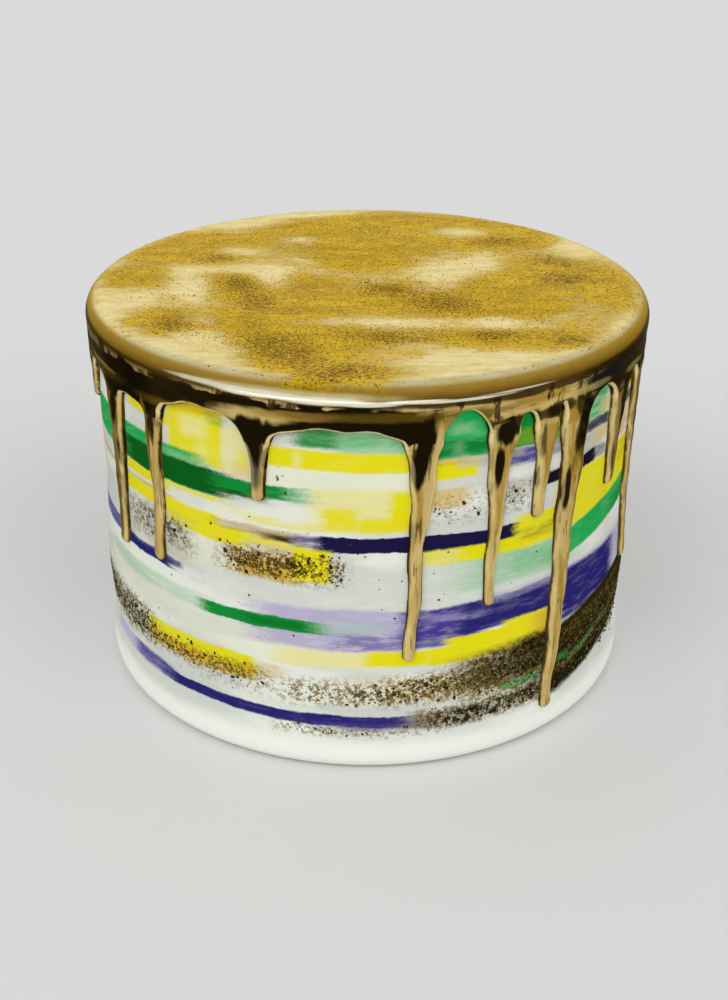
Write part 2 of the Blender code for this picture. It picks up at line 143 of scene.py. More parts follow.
# A stroke of paint round the side: its angles in degrees, its heights in mm, the blur of its ends in degrees
# and of its edges in mm, its opacity, how far dry streaks open it, and its tilt in mm a degree
Stroke = namedtuple("Stroke", "paint start end low high ends edges cover broken tilt", defaults=(1, 0.1, 0))
FRONT_STROKES = table(
    Stroke,
    ("cream", -70, -8, 45, 56, 8, 2, 0.5, 0.2),
    ("cream", -45, -8, 96, 104, 6, 2, 0.4, 0.2),
    ("cream", -22, 10, 110, 119, 4, 1.5, 0.8, 0.2),
    ("grey_white", -30, 24, 65, 82, 9, 3, 0.9, 0.3),
    ("grey", -56, -30, 72, 88, 5, 3, 0.35, 0.3),
    ("cream", -40, -26, 74, 88, 4, 3, 0.7, 0.3),
    # Between the drips, under the glaze's arches
    ("yellow", -54, -41, 124.2, 129.5, 1, 0.5, 1, 0),
    ("yellow", -41, -27.5, 113.5, 136, 1, 1.2),
    ("deep_yellow", -41, -27, 131.5, 137, 2, 1.5, 0.8, 0),
    ("pale_yellow", -37.5, -31, 123, 130, 1.5, 1.6, 0.9, 0.4),
    ("pale_yellow", -34, -31, 113, 121, 1, 2, 0.6, 0.2),
    ("pale_yellow", -27.5, -22.5, 113, 130, 1, 2, 0.9, 0.2),
    ("peach", -26, -20, 112, 118, 2, 1.5, 0.6, 0.2),
    ("yellow", -24.5, -21.5, 116, 122, 1, 1.4, 0.6, 0.2),
    ("green", -31, -27, 129, 133, 1.2, 1, 0.5, 0.2),
    ("yellow", -20, 9, 118.4, 126, 1, 0.7, 1, 0.05),
    ("pale_yellow", -13.5, -11.8, 118, 125, 0.8, 1, 0.6),
    ("green", -13, -3, 127, 136, 2.2, 0.9, 0.95, 0.15),
    ("pale_green", -5, 10, 125.8, 136, 2, 0.7, 0.95, 0.2),
    ("mid_green", -4, 9, 128, 132, 2, 1.4, 0.6, 0.4),
    ("mid_green", 12, 24, 121.8, 142, 0.6, 0.8),
    ("deep_green", 12, 24, 122.8, 128.5, 0.8, 1.2, 0.65, 0.3),
    ("pale_green", 15, 20, 130.5, 134.5, 2, 1.2, 0.6, 0.4),
    ("pale_green", 16, 18, 123, 128, 0.8, 2, 0.35, 0.2),
    ("green", 27, 34, 122.2, 139, 0.6, 0.7, 1, 0),
    ("lime", 27, 34, 123, 129, 0.6, 1.4, 0.9, 0.2),
    ("deep_green", 37, 43, 122, 139, 0.6, 0.7),
    ("lime", 37, 42, 121.4, 124.5, 0.6, 1, 0.8),
    ("mid_green", 47, 54.5, 123, 134, 1.2, 1.2, 0.9, 0.4),
    ("peach", 52, 57, 123.5, 128.5, 1.2, 1.2, 0.8, 0.2),
    ("yellow", 62, 78, 123.5, 129.5, 1.6, 0.8),
    ("yellow", 12, 21, 114.6, 121.4, 0.9, 0.8, 1, 0),
    ("orange", 12, 19, 119.8, 122.2, 1.5, 0.7, 0.6, 0.2),
    ("grey", 17, 25, 118, 122.2, 1.5, 1, 0.7, 0.3),
    ("violet", 27, 35, 115.6, 121.8, 0.9, 0.8, 0.95, 0.3),
    ("grey", 27, 31, 118.5, 122, 1.2, 0.8, 0.6, 0.2),
    ("violet", 37, 42, 116, 121.5, 0.8, 1, 0.6, 0.3),
    ("smoke", 46, 56, 118.4, 122.8, 1, 0.8, 0.95, 0.2),
    ("smoke", 63, 80, 118.6, 122.8, 2.5, 0.8, 0.9, 0.2),
    ("grey", 46.5, 54, 110.8, 118.2, 1.2, 1.2, 0.8, 0.2),
    ("peach", 51, 57, 112.5, 118, 1.2, 1, 0.8, 0.2),
    ("orange", 61, 76, 107, 118.4, 3, 1.6, 0.7, 0.5),
    # The upper third
    ("mid_green", -92, -33, 102.8, 117, 4, 0.8, 1, 0.12),
    ("pale_green", -44, -29, 112, 115.5, 3, 1, 0.5, 0.6),
    ("deep_green", -57, -27, 102.8, 112.6, 4, 0.7, 1, 0),
    ("deep_green", -33, -20, 104.7, 111.4, 4, 0.7),
    ("green", -30, -12, 106.6, 111.3, 3, 0.5),
    ("pale_green", -15, -7, 106.6, 111, 2, 1, 0.7, 0.3),
    ("yellow", -57, -42, 98.2, 102.8, 1.5, 0.4, 1, 0),
    ("yellow", -43, -28, 100.9, 102.5, 4, 0.4, 0.9, 0.2),
    ("tan", -74, -40, 94.9, 97.2, 6, 0.4, 0.6, 0.2),
    ("yellow", -59, -41, 90.3, 95.8, 3, 0.4, 1, 0),
    ("yellow", -43, -29, 86, 96, 1.5, 0.7, 1, 0.05),
    ("yellow", -31, -23, 85.8, 92.4, 2, 0.7),
    ("yellow", -25, -11, 88, 91.2, 2, 0.6, 0.9, 0.2),
    ("tan", -30, -12, 91.4, 95, 3, 0.6, 0.65, 0.2),
    ("bronze", -21, -12, 90.6, 93.6, 2.5, 0.8, 0.8, 0.4),
    ("dark_bronze", -18.5, -14, 90.9, 92.8, 1.5, 0.7, 0.9, 0.3),
    ("yellow", -26, -3, 96, 99.4, 5, 0.8, 0.6, 0.4),
    ("pale_yellow", -10, 9, 96.4, 112, 3, 1.2, 0.95, 0.2),
    ("yellow", -8, -1.5, 97, 105, 1.5, 1.5, 0.95),
    ("yellow", -2, 9, 96.3, 101.5, 2, 1, 0.95),
    ("yellow", 4.5, 9, 99, 111, 1.2, 1.2, 1, 0),
    ("peach", 9, 19, 104, 111.5, 2, 1.2, 1, 0.2),
    ("grey", 26, 34, 102.5, 110.5, 1.5, 1.6, 0.7, 0.3),
    ("night", 36, 42, 105.2, 110.2, 0.7, 0.5, 1, 0),
    ("night", 46, 51.5, 105.6, 110.8, 0.8, 0.5, 1, 0),
    ("smoke", 50, 56, 106, 110.4, 1.5, 0.8, 0.7, 0.4),
    # The middle
    ("yellow", 41, 87, 84, 105.6, 3, 0.8, 1, 0.05),
    ("deep_yellow", 62, 80, 96, 105.6, 3, 1.5, 0.5, 0.4),
    ("violet", -14, -8, 89.6, 94.2, 1.5, 0.8, 0.85, 0.5),
    ("navy", -9.5, 31, 88.5, 94.6, 1.6, 0.3, 1, 0, -0.02),
    ("smoke", 29, 33.5, 89.6, 93.4, 1.5, 0.8, 0.8, 0.4),
    ("peach", -24, -12, 82, 89, 2, 1.2, 0.5, 0.3),
    ("orange", -27, -13, 75.5, 85, 3, 1.5, 0.7, 0.3),
    ("deep_yellow", -26, -12, 75, 82.6, 3, 1.2, 0.8, 0.4),
    ("yellow", -14, -6.5, 76.5, 89.2, 1, 1),
    ("yellow", 9.5, 20, 82, 88.4, 1, 0.6, 0.85, 0.25),
    ("yellow", 18, 34, 82.2, 88.5, 2, 0.5, 1, 0),
    ("yellow", 30, 41, 82.6, 96, 1.5, 1),
    ("bronze", 31, 40, 85.5, 90.5, 2, 1.5, 0.5, 0.5),
    ("pale_green", 18, 45, 70.8, 82.8, 6, 1, 0.75, 0.2),
    ("mid_green", 29, 42, 73, 82.5, 3, 1, 0.4, 0.3),
    ("mid_green", 42, 76, 72.2, 83, 2.5, 0.7, 1, 0.1, 0.25),
    ("green", 60, 80, 78, 83, 4, 1, 0.8, 0.3, 0.25),
    ("violet", -77, -58, 68, 73.6, 4, 0.5, 0.9),
    ("purple", -60, -42, 67.4, 72, 2, 0.5, 1, 0),
    ("purple", -44, -39, 69.4, 71.8, 1, 0.4, 0.9),
    ("pale_green", -68, -32, 57.2, 62.4, 6, 1, 0.6, 0.2),
    ("lavender", -22, 10, 50.5, 66.4, 5, 1.2, 0.9, 0.3),
    ("violet", -5, 9, 50.8, 57, 3, 1.2, 0.6, 0.5),
    ("green", -34, -7.5, 56.4, 61.2, 2.5, 0.4, 1, 0),
    ("deep_green", -24, -11, 57.4, 60.2, 2.5, 0.8, 0.5, 0.3),
    ("pale_green", -10, 3, 57, 62, 2.5, 1, 0.45, 0.3),
    ("violet", 7, 24, 51, 66.2, 2, 0.7, 1, 0.3),
    ("purple", 18, 44, 54.2, 66.6, 2.5, 0.6, 1, 0.1, 0.03),
    ("lavender", 12, 24, 60.5, 63.5, 3, 0.8, 0.5, 0.5),
    ("lavender", 24, 70, 64.5, 68.4, 3, 0.8, 0.6, 0.4),
    ("lavender", 43, 70, 48, 67, 2.5, 1.5, 0.8, 0.3),
    ("purple", 42, 63.5, 50, 67.2, 2.5, 1),
    ("purple", 42, 58, 47, 52, 3, 0.7, 0.95, 0.3),
    # The lower third
    ("pale_yellow", -18, 5, 43.6, 50, 4, 0.8, 0.9),
    ("yellow", 0, 13, 44.6, 50.2, 1.8, 0.6, 1, 0),
    ("yellow", 12, 40, 43.8, 50.6, 1.2, 0.5, 1, 0),
    ("yellow", 15.5, 40, 46, 53.4, 2, 0.5, 1, 0),
    ("yellow", 28, 40, 50, 55.8, 2, 0.5, 1, 0),
    ("orange", 35, 41, 43.8, 55, 2, 1.5, 0.6, 0.3),
    ("peach", -24, -16, 36.8, 42, 2, 1, 0.7, 0.3),
    ("yellow", -51, -22, 35.5, 43.4, 1.6, 0.8, 1, 0.05, 0.02),
    ("deep_yellow", -50.5, -22, 31.4, 37.6, 1.8, 1, 0.95, 0.2, 0.06),
    ("grey", -56, -37, 72, 89, 3, 2, 0.6, 0.3),
    ("lavender", -72, -52, 19.6, 26, 3, 1, 0.8, 0.2, -0.05),
    ("violet", -58, -43, 19.6, 25, 3, 0.8, 0.9, 0.2),
    ("purple", -46, 10, 19.6, 24, 4, 0.4, 1, 0.05, -0.02),
    ("violet", -10, 13, 17.2, 20.6, 3, 0.8, 0.6, 0.4),
    # Sugar ground into the icing under the flecks
    ("peach", -6, 26, 29, 39, 6, 3, 0.45, 0.3),
    ("khaki", 16, 43, 28, 45, 7, 3, 0.7, 0.3),
    ("olive_brown", 30, 43, 29, 45, 6, 2.5, 0.85, 0.3, 0.05),
    ("khaki", 8, 43, 17, 23, 5, 2, 0.6, 0.4, 0.04),
    ("olive_brown", 40, 84, 16, 44, 3, 1.4, 0.95, 0.1, 0.33),
    ("olive_brown", 72, 92, 27, 50, 7, 3, 0.8, 0.3, 0.1),
    ("khaki", -95, -50, 31, 43, 4, 3, 0.5, 0.4),
)
# The back goes on in the same manner. Its angles run from 0 at the front to 360.
BACK_STROKES = table(
    Stroke,
    ("pale_green", 76, 130, 124, 136, 3, 1, 0.9, 0.3),
    ("mid_green", 84, 118, 126, 134, 3, 1, 0.9, 0.3),
    ("yellow", 80, 122, 107, 116, 3, 0.8),
    ("navy", 92, 141, 96, 101.5, 2, 0.4, 1, 0),
    ("green", 78, 112, 83, 90, 4, 0.7, 1, 0.1, 0.1),
    ("cream", 86, 200, 76, 86, 8, 2, 0.7, 0.2),
    ("purple", 82, 128, 62, 72, 4, 0.8, 0.9, 0.3),
    ("lavender", 122, 158, 61, 72, 5, 1.2, 0.9, 0.3),
    ("yellow", 104, 150, 32, 41, 3, 0.7, 1, 0.05),
    ("violet", 96, 158, 20, 25, 5, 0.6, 0.9, 0.2),
    ("yellow", 126, 172, 118, 131, 2, 1),
    ("pale_yellow", 140, 154, 121, 128, 3, 1.5, 0.8, 0.3),
    ("deep_green", 134, 196, 104, 114, 4, 0.7),
    ("mid_green", 186, 210, 105, 112, 5, 1, 0.8, 0.4),
    ("orange", 140, 176, 92, 95, 5, 0.6, 0.7, 0.3),
    ("yellow", 148, 190, 84, 93, 3, 0.7),
    ("green", 160, 204, 58, 65, 4, 0.5),
    ("purple", 164, 216, 44, 50, 4, 0.5),
    ("yellow", 168, 214, 31, 39, 3, 0.8),
    ("pale_green", 176, 222, 120, 134, 3, 1.2, 0.9, 0.3),
    ("green", 194, 216, 123, 131, 3, 1, 0.9, 0.3),
    ("navy", 200, 246, 95, 101, 3, 0.4, 1, 0),
    ("yellow", 206, 250, 74, 84, 3, 0.8),
    ("peach", 204, 228, 86, 92, 4, 1, 0.7, 0.3),
    ("lavender", 214, 262, 54, 67, 5, 1.2, 0.9, 0.3),
    ("purple", 232, 262, 56, 65, 4, 0.8, 0.95, 0.2),
    ("yellow", 228, 268, 115, 130, 3, 1),
    ("purple", 196, 262, 17, 22, 6, 0.5, 0.95),
    ("yellow", 246, 286, 86, 96, 4, 0.6, 0.9),
    ("mid_green", 250, 272, 102.8, 112, 4, 0.8, 0.9, 0.2),
)

# Stains that the flecks leave: strokes as above, but broken into grains
FRONT_STAINS = table(
    Stroke,
    ("khaki", -95, -49, 28, 46, 4, 3, 1, 1),
    ("dark_bronze", -95, -50, 31, 43, 4, 4, 1, 1.5),
    ("bronze", -52, -20, 31, 38, 4, 3, 0.9, 1.3, 0.08),
    ("dark_bronze", -48, -24, 31, 36, 4, 3, 0.7, 1.3, 0.08),
    ("khaki", -38, -8, 28, 37, 5, 3.5, 0.6, 1.3),
    ("bronze", -16, -4, 27, 36, 3, 3, 0.7, 1.3),
    ("khaki", -14, 12, 28, 38, 3, 4, 0.8, 1.2),
    ("dark_bronze", -3, 7, 29, 35, 3, 3, 0.9, 1.4),
    ("khaki", 5, 27, 28, 40, 4, 3, 1, 1.1),
    ("bronze", 5, 32, 28, 40, 4, 3.5, 0.9, 1.3),
    ("khaki", 20, 42, 23, 45, 5, 3, 1.05, 0.9),
    ("bronze", 22, 42, 27, 44, 5, 4, 1, 1),
    ("dark_bronze", 22, 42, 30, 44, 6, 4, 1.25, 0.9),
    ("dark_bronze", 32, 43, 25, 45.5, 4, 3, 1.3, 0.7, 0.1),
    ("peach", 31, 41, 28.5, 31, 3, 1.4, 0.7, 0.8),
    ("khaki", -18, 16, 14.6, 19, 3, 1.5, 0.8, 1.2),
    ("khaki", 10, 43, 16.5, 25, 3, 1.8, 1, 0.9),
    ("dark_bronze", 13, 43, 17, 23, 4, 2, 1.3, 1, 0.04),
    ("dark_bronze", 40, 82, 15.5, 44, 3, 1.6, 1.3, 0.45, 0.33),
    ("dark_bronze", 72, 96, 27, 50, 9, 3, 1.2, 0.8, 0.1),
    ("khaki", 43, 90, 24, 27, 2, 1.2, 0.8, 1, 0.4),
    ("bronze", 43, 90, 36, 42, 2, 2, 0.5, 1, 0.33),
    ("mid_green", 28.5, 38, 26.2, 28.8, 3, 0.9, 0.8, 0.4, 0.15),
    ("mid_green", 43.5, 46.5, 29, 32.2, 1.6, 0.9, 0.8, 0.4),
    ("mid_green", 49, 60, 27.4, 30.2, 3.5, 0.9, 0.7, 0.4, 0.5),
    ("bronze", -30, -4, 75.5, 86, 3, 3, 0.9, 1.2),
    ("dark_bronze", -26, -12, 77, 85, 3, 3, 0.8, 1.3),
    ("khaki", -58, -36, 76, 89, 3, 3, 0.75, 1),
    ("dark_bronze", -50, -40, 79, 86, 3, 3, 0.9, 1.4),
    ("khaki", 12, 35, 98, 110, 3, 3, 0.45, 1.2),
    ("dark_bronze", 26, 33, 99, 108, 2.5, 3, 0.45, 1.3),
)
BACK_STAINS = table(
    Stroke,
    ("dark_bronze", 94, 104, 20, 44, 6, 3, 1.1, 0.7),
    ("khaki", 96, 166, 43, 58, 5, 3, 1, 1),
    ("dark_bronze", 104, 160, 46, 55, 5, 3, 1, 1.4),
    ("bronze", 140, 176, 88, 97, 4, 3, 0.9, 1.2),
    ("khaki", 188, 266, 25, 41, 5, 3, 1, 1),
    ("dark_bronze", 194, 256, 28, 38, 6, 3, 1, 1.3),
    ("bronze", 206, 240, 77, 88, 4, 3, 0.9, 1.2),
)

# An oval of dark or bright reflection painted into the gold: its angle in degrees and height in mm, half its
# width in degrees and half its extent up in mm, its blur as a share of its size, its opacity, and its lean in
# degrees a mm
Gleam = namedtuple("Gleam", "paint angle height across up blur cover lean", defaults=(1, 0))
COAT_FRONT = table(
    Gleam,
    ("painted_dark", -35, 134.5, 61, 8.6, 0.12),
    ("painted_dark", 34, 143.2, 46, 1.7, 0.5, 0.9),
    ("painted_dark", 3, 136.5, 12, 5.5, 0.4, 0.85),
    ("painted_dark", 62, 137, 16, 7, 0.3, 0.95),
    ("pale_gold", -21, 136.8, 7, 2.8, 0.8, 0.95),
    ("smoke", 52, 139.5, 9, 3.2, 0.7, 0.9, -0.4),
    ("pale_gold", 44, 137.4, 7, 1.5, 0.6, 0.9, -0.6),
    ("pale_gold", 33, 136.2, 5, 1.2, 0.6, 0.9, -0.4),
    ("pale_gold", 64, 135.5, 5, 1.4, 0.7, 0.9, -0.6),
    ("tan", -13, 138.6, 8, 1.6, 0.8, 0.7),
    ("brown", 6, 139, 20, 1.6, 0.9, 0.7),
    ("tan", 17, 135.5, 5, 3.4, 0.8, 0.9),
    ("brown", -66, 134, 12, 2.6, 0.9, 0.8),
    ("pale_gold", -70, 132, 7, 1.2, 0.8, 0.8, 0.5),
    ("pale_gold", -62, 135.5, 6, 0.9, 0.8, 0.7),
    ("brown", -40, 133, 8, 1.6, 0.9, 0.7),
)
GOLD_FRONT = table(
    Gleam,
    ("painted_dark", 28.6, 132, 3.2, 3.6, 0.5, 0.95, 0.3),
    ("painted_dark", 35, 133.5, 3, 2, 0.6, 0.9, 0.4),
    ("painted_dark", 38, 134, 3.4, 2.6, 0.5, 0.9),
    ("painted_dark", 47, 131, 3.2, 4, 0.5, 0.9),
    ("brown", 20, 138.5, 6, 1.4, 0.8, 0.8),
    ("tan", -62, 112, 1.7, 22, 0.5),
    ("painted_dark", -58.6, 121, 1.1, 8, 0.5),
    ("tan", -46.4, 110, 1.2, 22, 0.5),
    ("painted_dark", -44.6, 123, 0.9, 7, 0.5, 0.9),
    ("painted_dark", -20.6, 122, 1.4, 11, 0.45),
    ("painted_dark", -20.6, 131, 5, 5, 0.45),
    ("pale_gold", 12.6, 118, 1.2, 16, 0.5, 1, 0.06),
    ("painted_dark", 9.9, 125, 1.7, 11.5, 0.4, 1, 0.08),
    ("painted_dark", 25.6, 130, 2.2, 4.5, 0.45),
    ("painted_dark", 24.6, 117.5, 0.9, 7.5, 0.45, 1, 0.02),
    ("painted_dark", 34.2, 123, 0.6, 7, 0.5, 0.8),
    ("painted_dark", 44.8, 126, 1.8, 10, 0.45, 1, 0.1),
    ("painted_dark", 41.3, 101, 0.9, 8.5, 0.45, 1, 0.03),
    ("painted_dark", 59.8, 119, 1.2, 12, 0.45, 0.95, 0.02),
    ("painted_dark", 57, 104, 0.6, 6, 0.5, 0.8),
)
# Highlights painted along the rim, with a painted glow above the front one
RIM_LIGHT = table(
    Gleam,
    ("bright_gold", -14, 145.6, 18, 1.6, 0.9, 0.7),
    ("highlight", -19, 145, 8, 1.2, 0.7),
    ("highlight", -8, 144.5, 7, 1.3, 0.7),
    ("highlight", 0.5, 143.8, 5, 0.8, 0.7, 1, 0.3),
    ("highlight", -30, 145.6, 8, 0.7, 0.9, 0.7),
    ("highlight", 8, 144.4, 6, 0.6, 0.8, 0.9, -0.4),
    ("highlight", 18, 143.9, 8, 0.5, 0.8, 0.9),
    ("highlight", 28, 144.6, 7, 0.3, 0.8, 0.7),
    ("highlight", 142, 144.6, 22, 0.6, 0.9, 0.8),
)
# The back's painted reflections, made up in the same manner
COAT_BACK = table(
    Gleam,
    ("painted_dark", 168, 136, 106, 7.5, 0.15),
    ("pale_gold", 108, 135, 9, 2.6, 0.8, 0.9),
    ("pale_gold", 152, 134, 8, 2.4, 0.8, 0.9),
    ("brown", 182, 137, 16, 2.2, 0.9, 0.8),
    ("pale_gold", 215, 135, 10, 2.6, 0.8, 0.9),
    ("brown", 250, 136, 14, 2.4, 0.9, 0.8),
)
GOLD_BACK = table(
    Gleam,
    ("painted_dark", 96.8, 122, 1.3, 11, 0.25),
    ("painted_dark", 141.8, 116, 1.5, 13, 0.25, 1, -0.04),
    ("painted_dark", 175.4, 119, 1.2, 12, 0.25),
    ("painted_dark", 204.8, 116, 1.3, 13, 0.25),
    ("painted_dark", 235.6, 119, 1.5, 12, 0.25, 1, 0.05),
    ("painted_dark", 266.6, 120, 1.2, 11, 0.25),
)

# Where the coarse grains lie, as on the solid: (from, to, lowest, highest, how many), in degrees and metres
GRAIN_BANDS = [
    (-4, 38, 0.027, 0.039, 20),
    (10, 38, 0.017, 0.024, 9),
    (44, 74, 0.021, 0.044, 21),
    (-54, -20, 0.031, 0.041, 10),
    (-72, -50, 0.031, 0.043, 7),
    (-30, -6, 0.076, 0.087, 14),
    (-54, -40, 0.077, 0.087, 5),
    (14, 34, 0.099, 0.108, 4),
    (100, 160, 0.046, 0.056, 11),
    (190, 250, 0.027, 0.038, 11),
]
GRAIN_WIDTH = (0.0016, 0.0022)
GRAIN_PROUD = 0.0005
GRAIN_CLEAR_OF_DRIP = 0.0022
GRAIN_SEED = 4

# The finer flecks between them, in the same order
FLECK_BANDS = [
    (-12, 10, 0.028, 0.038, 190),
    (-2, 7, 0.029, 0.036, 110),
    (9, 26, 0.029, 0.04, 330),
    (22, 40, 0.026, 0.044, 520),
    (10, 40, 0.016, 0.025, 480),
    (43, 74, 0.018, 0.048, 900),
    (-26, -10, 0.029, 0.038, 110),
    (-50, -24, 0.03, 0.04, 190),
    (-86, -49, 0.029, 0.046, 420),
    (-28, -4, 0.075, 0.088, 260),
    (-26, -12, 0.077, 0.086, 170),
    (-56, -37, 0.075, 0.089, 190),
    (-16, 16, 0.0145, 0.019, 60),
    (12, 35, 0.098, 0.11, 46),
    (-20, -14, 0.11, 0.119, 9),
    (-60, 60, 0.022, 0.13, 90),
    (74, 100, 0.022, 0.046, 330),
    (96, 166, 0.043, 0.058, 520),
    (140, 176, 0.088, 0.097, 120),
    (188, 262, 0.025, 0.041, 560),
    (206, 240, 0.078, 0.088, 150),
    (90, 270, 0.022, 0.13, 120),
]
FLECK_WIDTH = (0.5 * MM, 1.25 * MM)
FLECK_SEED = 11


def linear_paint(name):
    """A named paint as the linear RGBA that shaders take."""
    channels = [int(PAINTS[name][i:i + 2], 16) / 255 for i in (0, 2, 4)]
    linear = [c / 12.92 if c <= 0.04045 else ((c + 0.055) / 1.055) ** 2.4 for c in channels]
    return (*linear, 1.0)


def wrap(angle):
    return (angle + 180) % 360 - 180


def smooth(value, start, end):
    share = np.clip((value - start) / (end - start), 0, 1)
    return share * share * (3 - 2 * share)


def on_side(angle, radius, height):
    """Points at the given angle, distance from the axis and height, as an array of rows of three."""
    a = np.radians(angle)
    return np.stack(np.broadcast_arrays(radius * np.sin(a), -radius * np.cos(a), height), axis=-1)


def side_radius(height):
    """The iced side's radius, easing between the named wavers."""
    heights, stands_out = zip(*SIDE_WAVER)
    z = np.clip(height, heights[0], heights[-1])
    radius = np.full(np.shape(z), SIDE_RADIUS + stands_out[0])
    for i in range(len(heights) - 1):
        share = np.clip((z - heights[i]) / (heights[i + 1] - heights[i]), 0, 1)
        radius = radius + (stands_out[i + 1] - stands_out[i]) * (0.5 - 0.5 * np.cos(np.pi * share))
    return radius


def fallen(drip, height):
    """How far down the drip a height is: 0 where it leaves the edge, 1 at its tip."""
    return np.clip((EDGE_AT_DRIP - height) / (EDGE_AT_DRIP - drip.tip_height), 0, 1)


def drip_angle(drip, height):
    return drip.top_angle + (drip.tip_angle - drip.top_angle) * fallen(drip, height)


def drip_width(drip, height):
    """From the top width to the midway width and on to the narrow one, with a flare at the edge."""
    width = np.interp(fallen(drip, height), [0, MIDWAY, 1], [drip.wide, drip.midway, drip.narrow])
    return width + FLARE_WIDTH * np.exp(-np.maximum(0.0, EDGE_AT_DRIP - height) / FLARE_REACH)


def shoulder_angle(drip):
    """Half the angle that the drip takes up where it leaves the edge."""
    return math.degrees(DRIP_SHOULDER * drip.wide / SIDE_RADIUS)


def edge_height(angle):
    """The glaze's lower edge: level across each drip, with an arch from one drip to the next."""
    height = np.full(np.shape(angle), EDGE_AT_DRIP)
    for drip, after in zip(DRIPS, DRIPS[1:] + DRIPS[:1]):
        span = (after.top_angle - drip.top_angle) % 360
        along = (angle - drip.top_angle) % 360
        gap = span - shoulder_angle(drip) - shoulder_angle(after)
        share = np.clip((along - shoulder_angle(drip)) / gap, 0, 1)
        arch = (drip.crown - EDGE_AT_DRIP) * np.sin(np.pi * share) ** ARCH_FULLNESS
        height = np.where(along <= span, EDGE_AT_DRIP + arch, height)
    return height


def smooth_max(a, b, blend):
    share = np.clip(0.5 + 0.5 * (a - b) / blend, 0, 1)
    return b + (a - b) * share + blend * share * (1 - share)


# The glaze's bead: how far in from its outline it reaches its full thickness, and the fillet beside a drip
BEAD_REACH = 2.3 * MM
DRIP_FILLET = 2.6 * MM
TIP_SWELL = 1.14
TIP_SWELL_REACH = 6 * MM
EDGE_WANDER = 0.35 * MM
LUMP_HEIGHT = 0.12 * MM


def glaze_depth(angle, height):
    """How far inside the glaze's outline a point of the side lies, in metres, and negative outside it."""
    wander = EDGE_WANDER * (np.sin(np.radians(23 * angle)) + np.sin(np.radians(41 * angle + 60)))
    depth = height - edge_height(angle) - wander
    for number, drip in enumerate(DRIPS):
        sway = 0.25 * np.sin(height * 170 + number * 2.1)
        across = np.radians(wrap(angle - drip_angle(drip, height) - sway)) * SIDE_RADIUS
        swell = 1 + (TIP_SWELL - 1) * np.exp(-((height - drip.tip_height) / TIP_SWELL_REACH) ** 2)
        half = drip_width(drip, height) / 2 * swell * (1 + 0.05 * np.sin(height * 420 + number))
        below = np.maximum(0.0, drip.tip_height + half - height)
        inside = (half**2 - across**2 - below**2) / (2 * half)
        depth = smooth_max(depth, inside, DRIP_FILLET)
    return depth


def glaze_thickness(angle, height, depth):
    """How far the glaze stands out from the icing, and a dive under it outside its outline."""
    share = np.clip(depth / BEAD_REACH, 0, 1)
    bead = np.sqrt(1 - (1 - share) ** 2)
    on_coat = smooth(height, EDGE_AT_DRIP - 3 * MM, EDGE_AT_DRIP + 4 * MM)
    full = DRIP_THICKNESS + (GLAZE_ON_SIDE - DRIP_THICKNESS) * on_coat
    lumps = LUMP_HEIGHT * np.sin(np.radians(31 * angle) + height * 500)
    lumps = lumps * np.sin(height * 330 + np.radians(9 * angle))
    to_rim = smooth(height, 0.137, CAKE_HEIGHT - GLAZE_EDGE_ROUND)
    full = (full + lumps) * (1 - to_rim) + (GLAZE_RADIUS - SIDE_RADIUS) * to_rim
    return np.where(depth > 0, bead * full, np.maximum(depth * 1.5, -1.0 * MM))


def mesh_object(name, points, faces):
    mesh = bpy.data.meshes.new(name)
    mesh.from_pydata(points.reshape(-1, 3).tolist(), [], faces.tolist())
    mesh.shade_smooth()
    made = bpy.data.objects.new(name, mesh)
    bpy.context.scene.collection.objects.link(made)
    return made


def grid_faces(rows, columns):
    """Quads of a grid that closes round on itself, rows running from the top down and columns towards +X."""
    r, c = np.meshgrid(np.arange(rows - 1), np.arange(columns), indexing="ij")
    after = (c + 1) % columns
    faces = [r * columns + c, (r + 1) * columns + c, (r + 1) * columns + after, r * columns + after]
    return np.stack(faces, axis=-1).reshape(-1, 4)


def keep_used(points, faces, values):
    """Drops the points that no face uses, and their values."""
    used, faces = np.unique(faces, return_inverse=True)
    return points[used], faces.reshape(-1, 4), values[used]


def arc(centre, height, radius, start, end, count):
    """Radius and height of the points of a round in the profile, between two angles in degrees."""
    turn = np.radians(np.linspace(start, end, count))
    return np.stack([centre + radius * np.cos(turn), height + radius * np.sin(turn)], axis=1)


def flat(start, end, height, count):
    """Radius and height of the points of a level stretch in the profile."""
    return np.stack([np.linspace(start, end, count), np.full(count, height)], axis=1)


def add_values(obj, name, values):
    attribute = obj.data.attributes.new(name, "FLOAT", "POINT")
    attribute.data.foreach_set("value", np.asarray(values, np.float32).ravel())


# The meshes: angles between columns in degrees, rings of points, steps down the side, and the innermost ring
COLUMN_FINE = 0.26
COLUMN_COARSE = 0.6
DRIP_MARGIN = 5.2
TOP_RINGS = 34
RIM_RINGS = 12
GLAZE_STEP = 0.75 * MM
ICING_STEP = 1.0 * MM
HUB = 0.3 * MM
# A depth past any bead, and how far outside its outline the glaze's surface still goes on, dived in
WELL_INSIDE = 12 * MM
DIVE = 0.3 * MM


def glaze_columns():
    """Angles round the cake, closer together where the drips are."""
    angles = [0.0]
    while angles[-1] < 360 - COLUMN_COARSE:
        here = angles[-1]
        near = any(
            min(wrap(here - d.top_angle), wrap(here - d.tip_angle)) < DRIP_MARGIN
            and max(wrap(here - d.top_angle), wrap(here - d.tip_angle)) > -DRIP_MARGIN
            for d in DRIPS
        )
        angles.append(here + (COLUMN_FINE if near else COLUMN_COARSE))
    return np.array(angles)


TOP_RIPPLE = 0.4 * MM
KNIFE_MARK = 0.1 * MM


def top_ripple(points):
    """Low waves in the poured top, dying out where its rim begins to round over."""
    x, y = points[..., 0], points[..., 1]
    reach = np.clip(1 - (np.hypot(x, y) / (GLAZE_RADIUS - GLAZE_EDGE_ROUND)) ** 4, 0, 1)
    waves = np.sin(55 * x + 30 * y + 0.6) + 0.7 * np.sin(90 * y - 35 * x)
    return -TOP_RIPPLE * reach * (1 + 0.5 * waves)


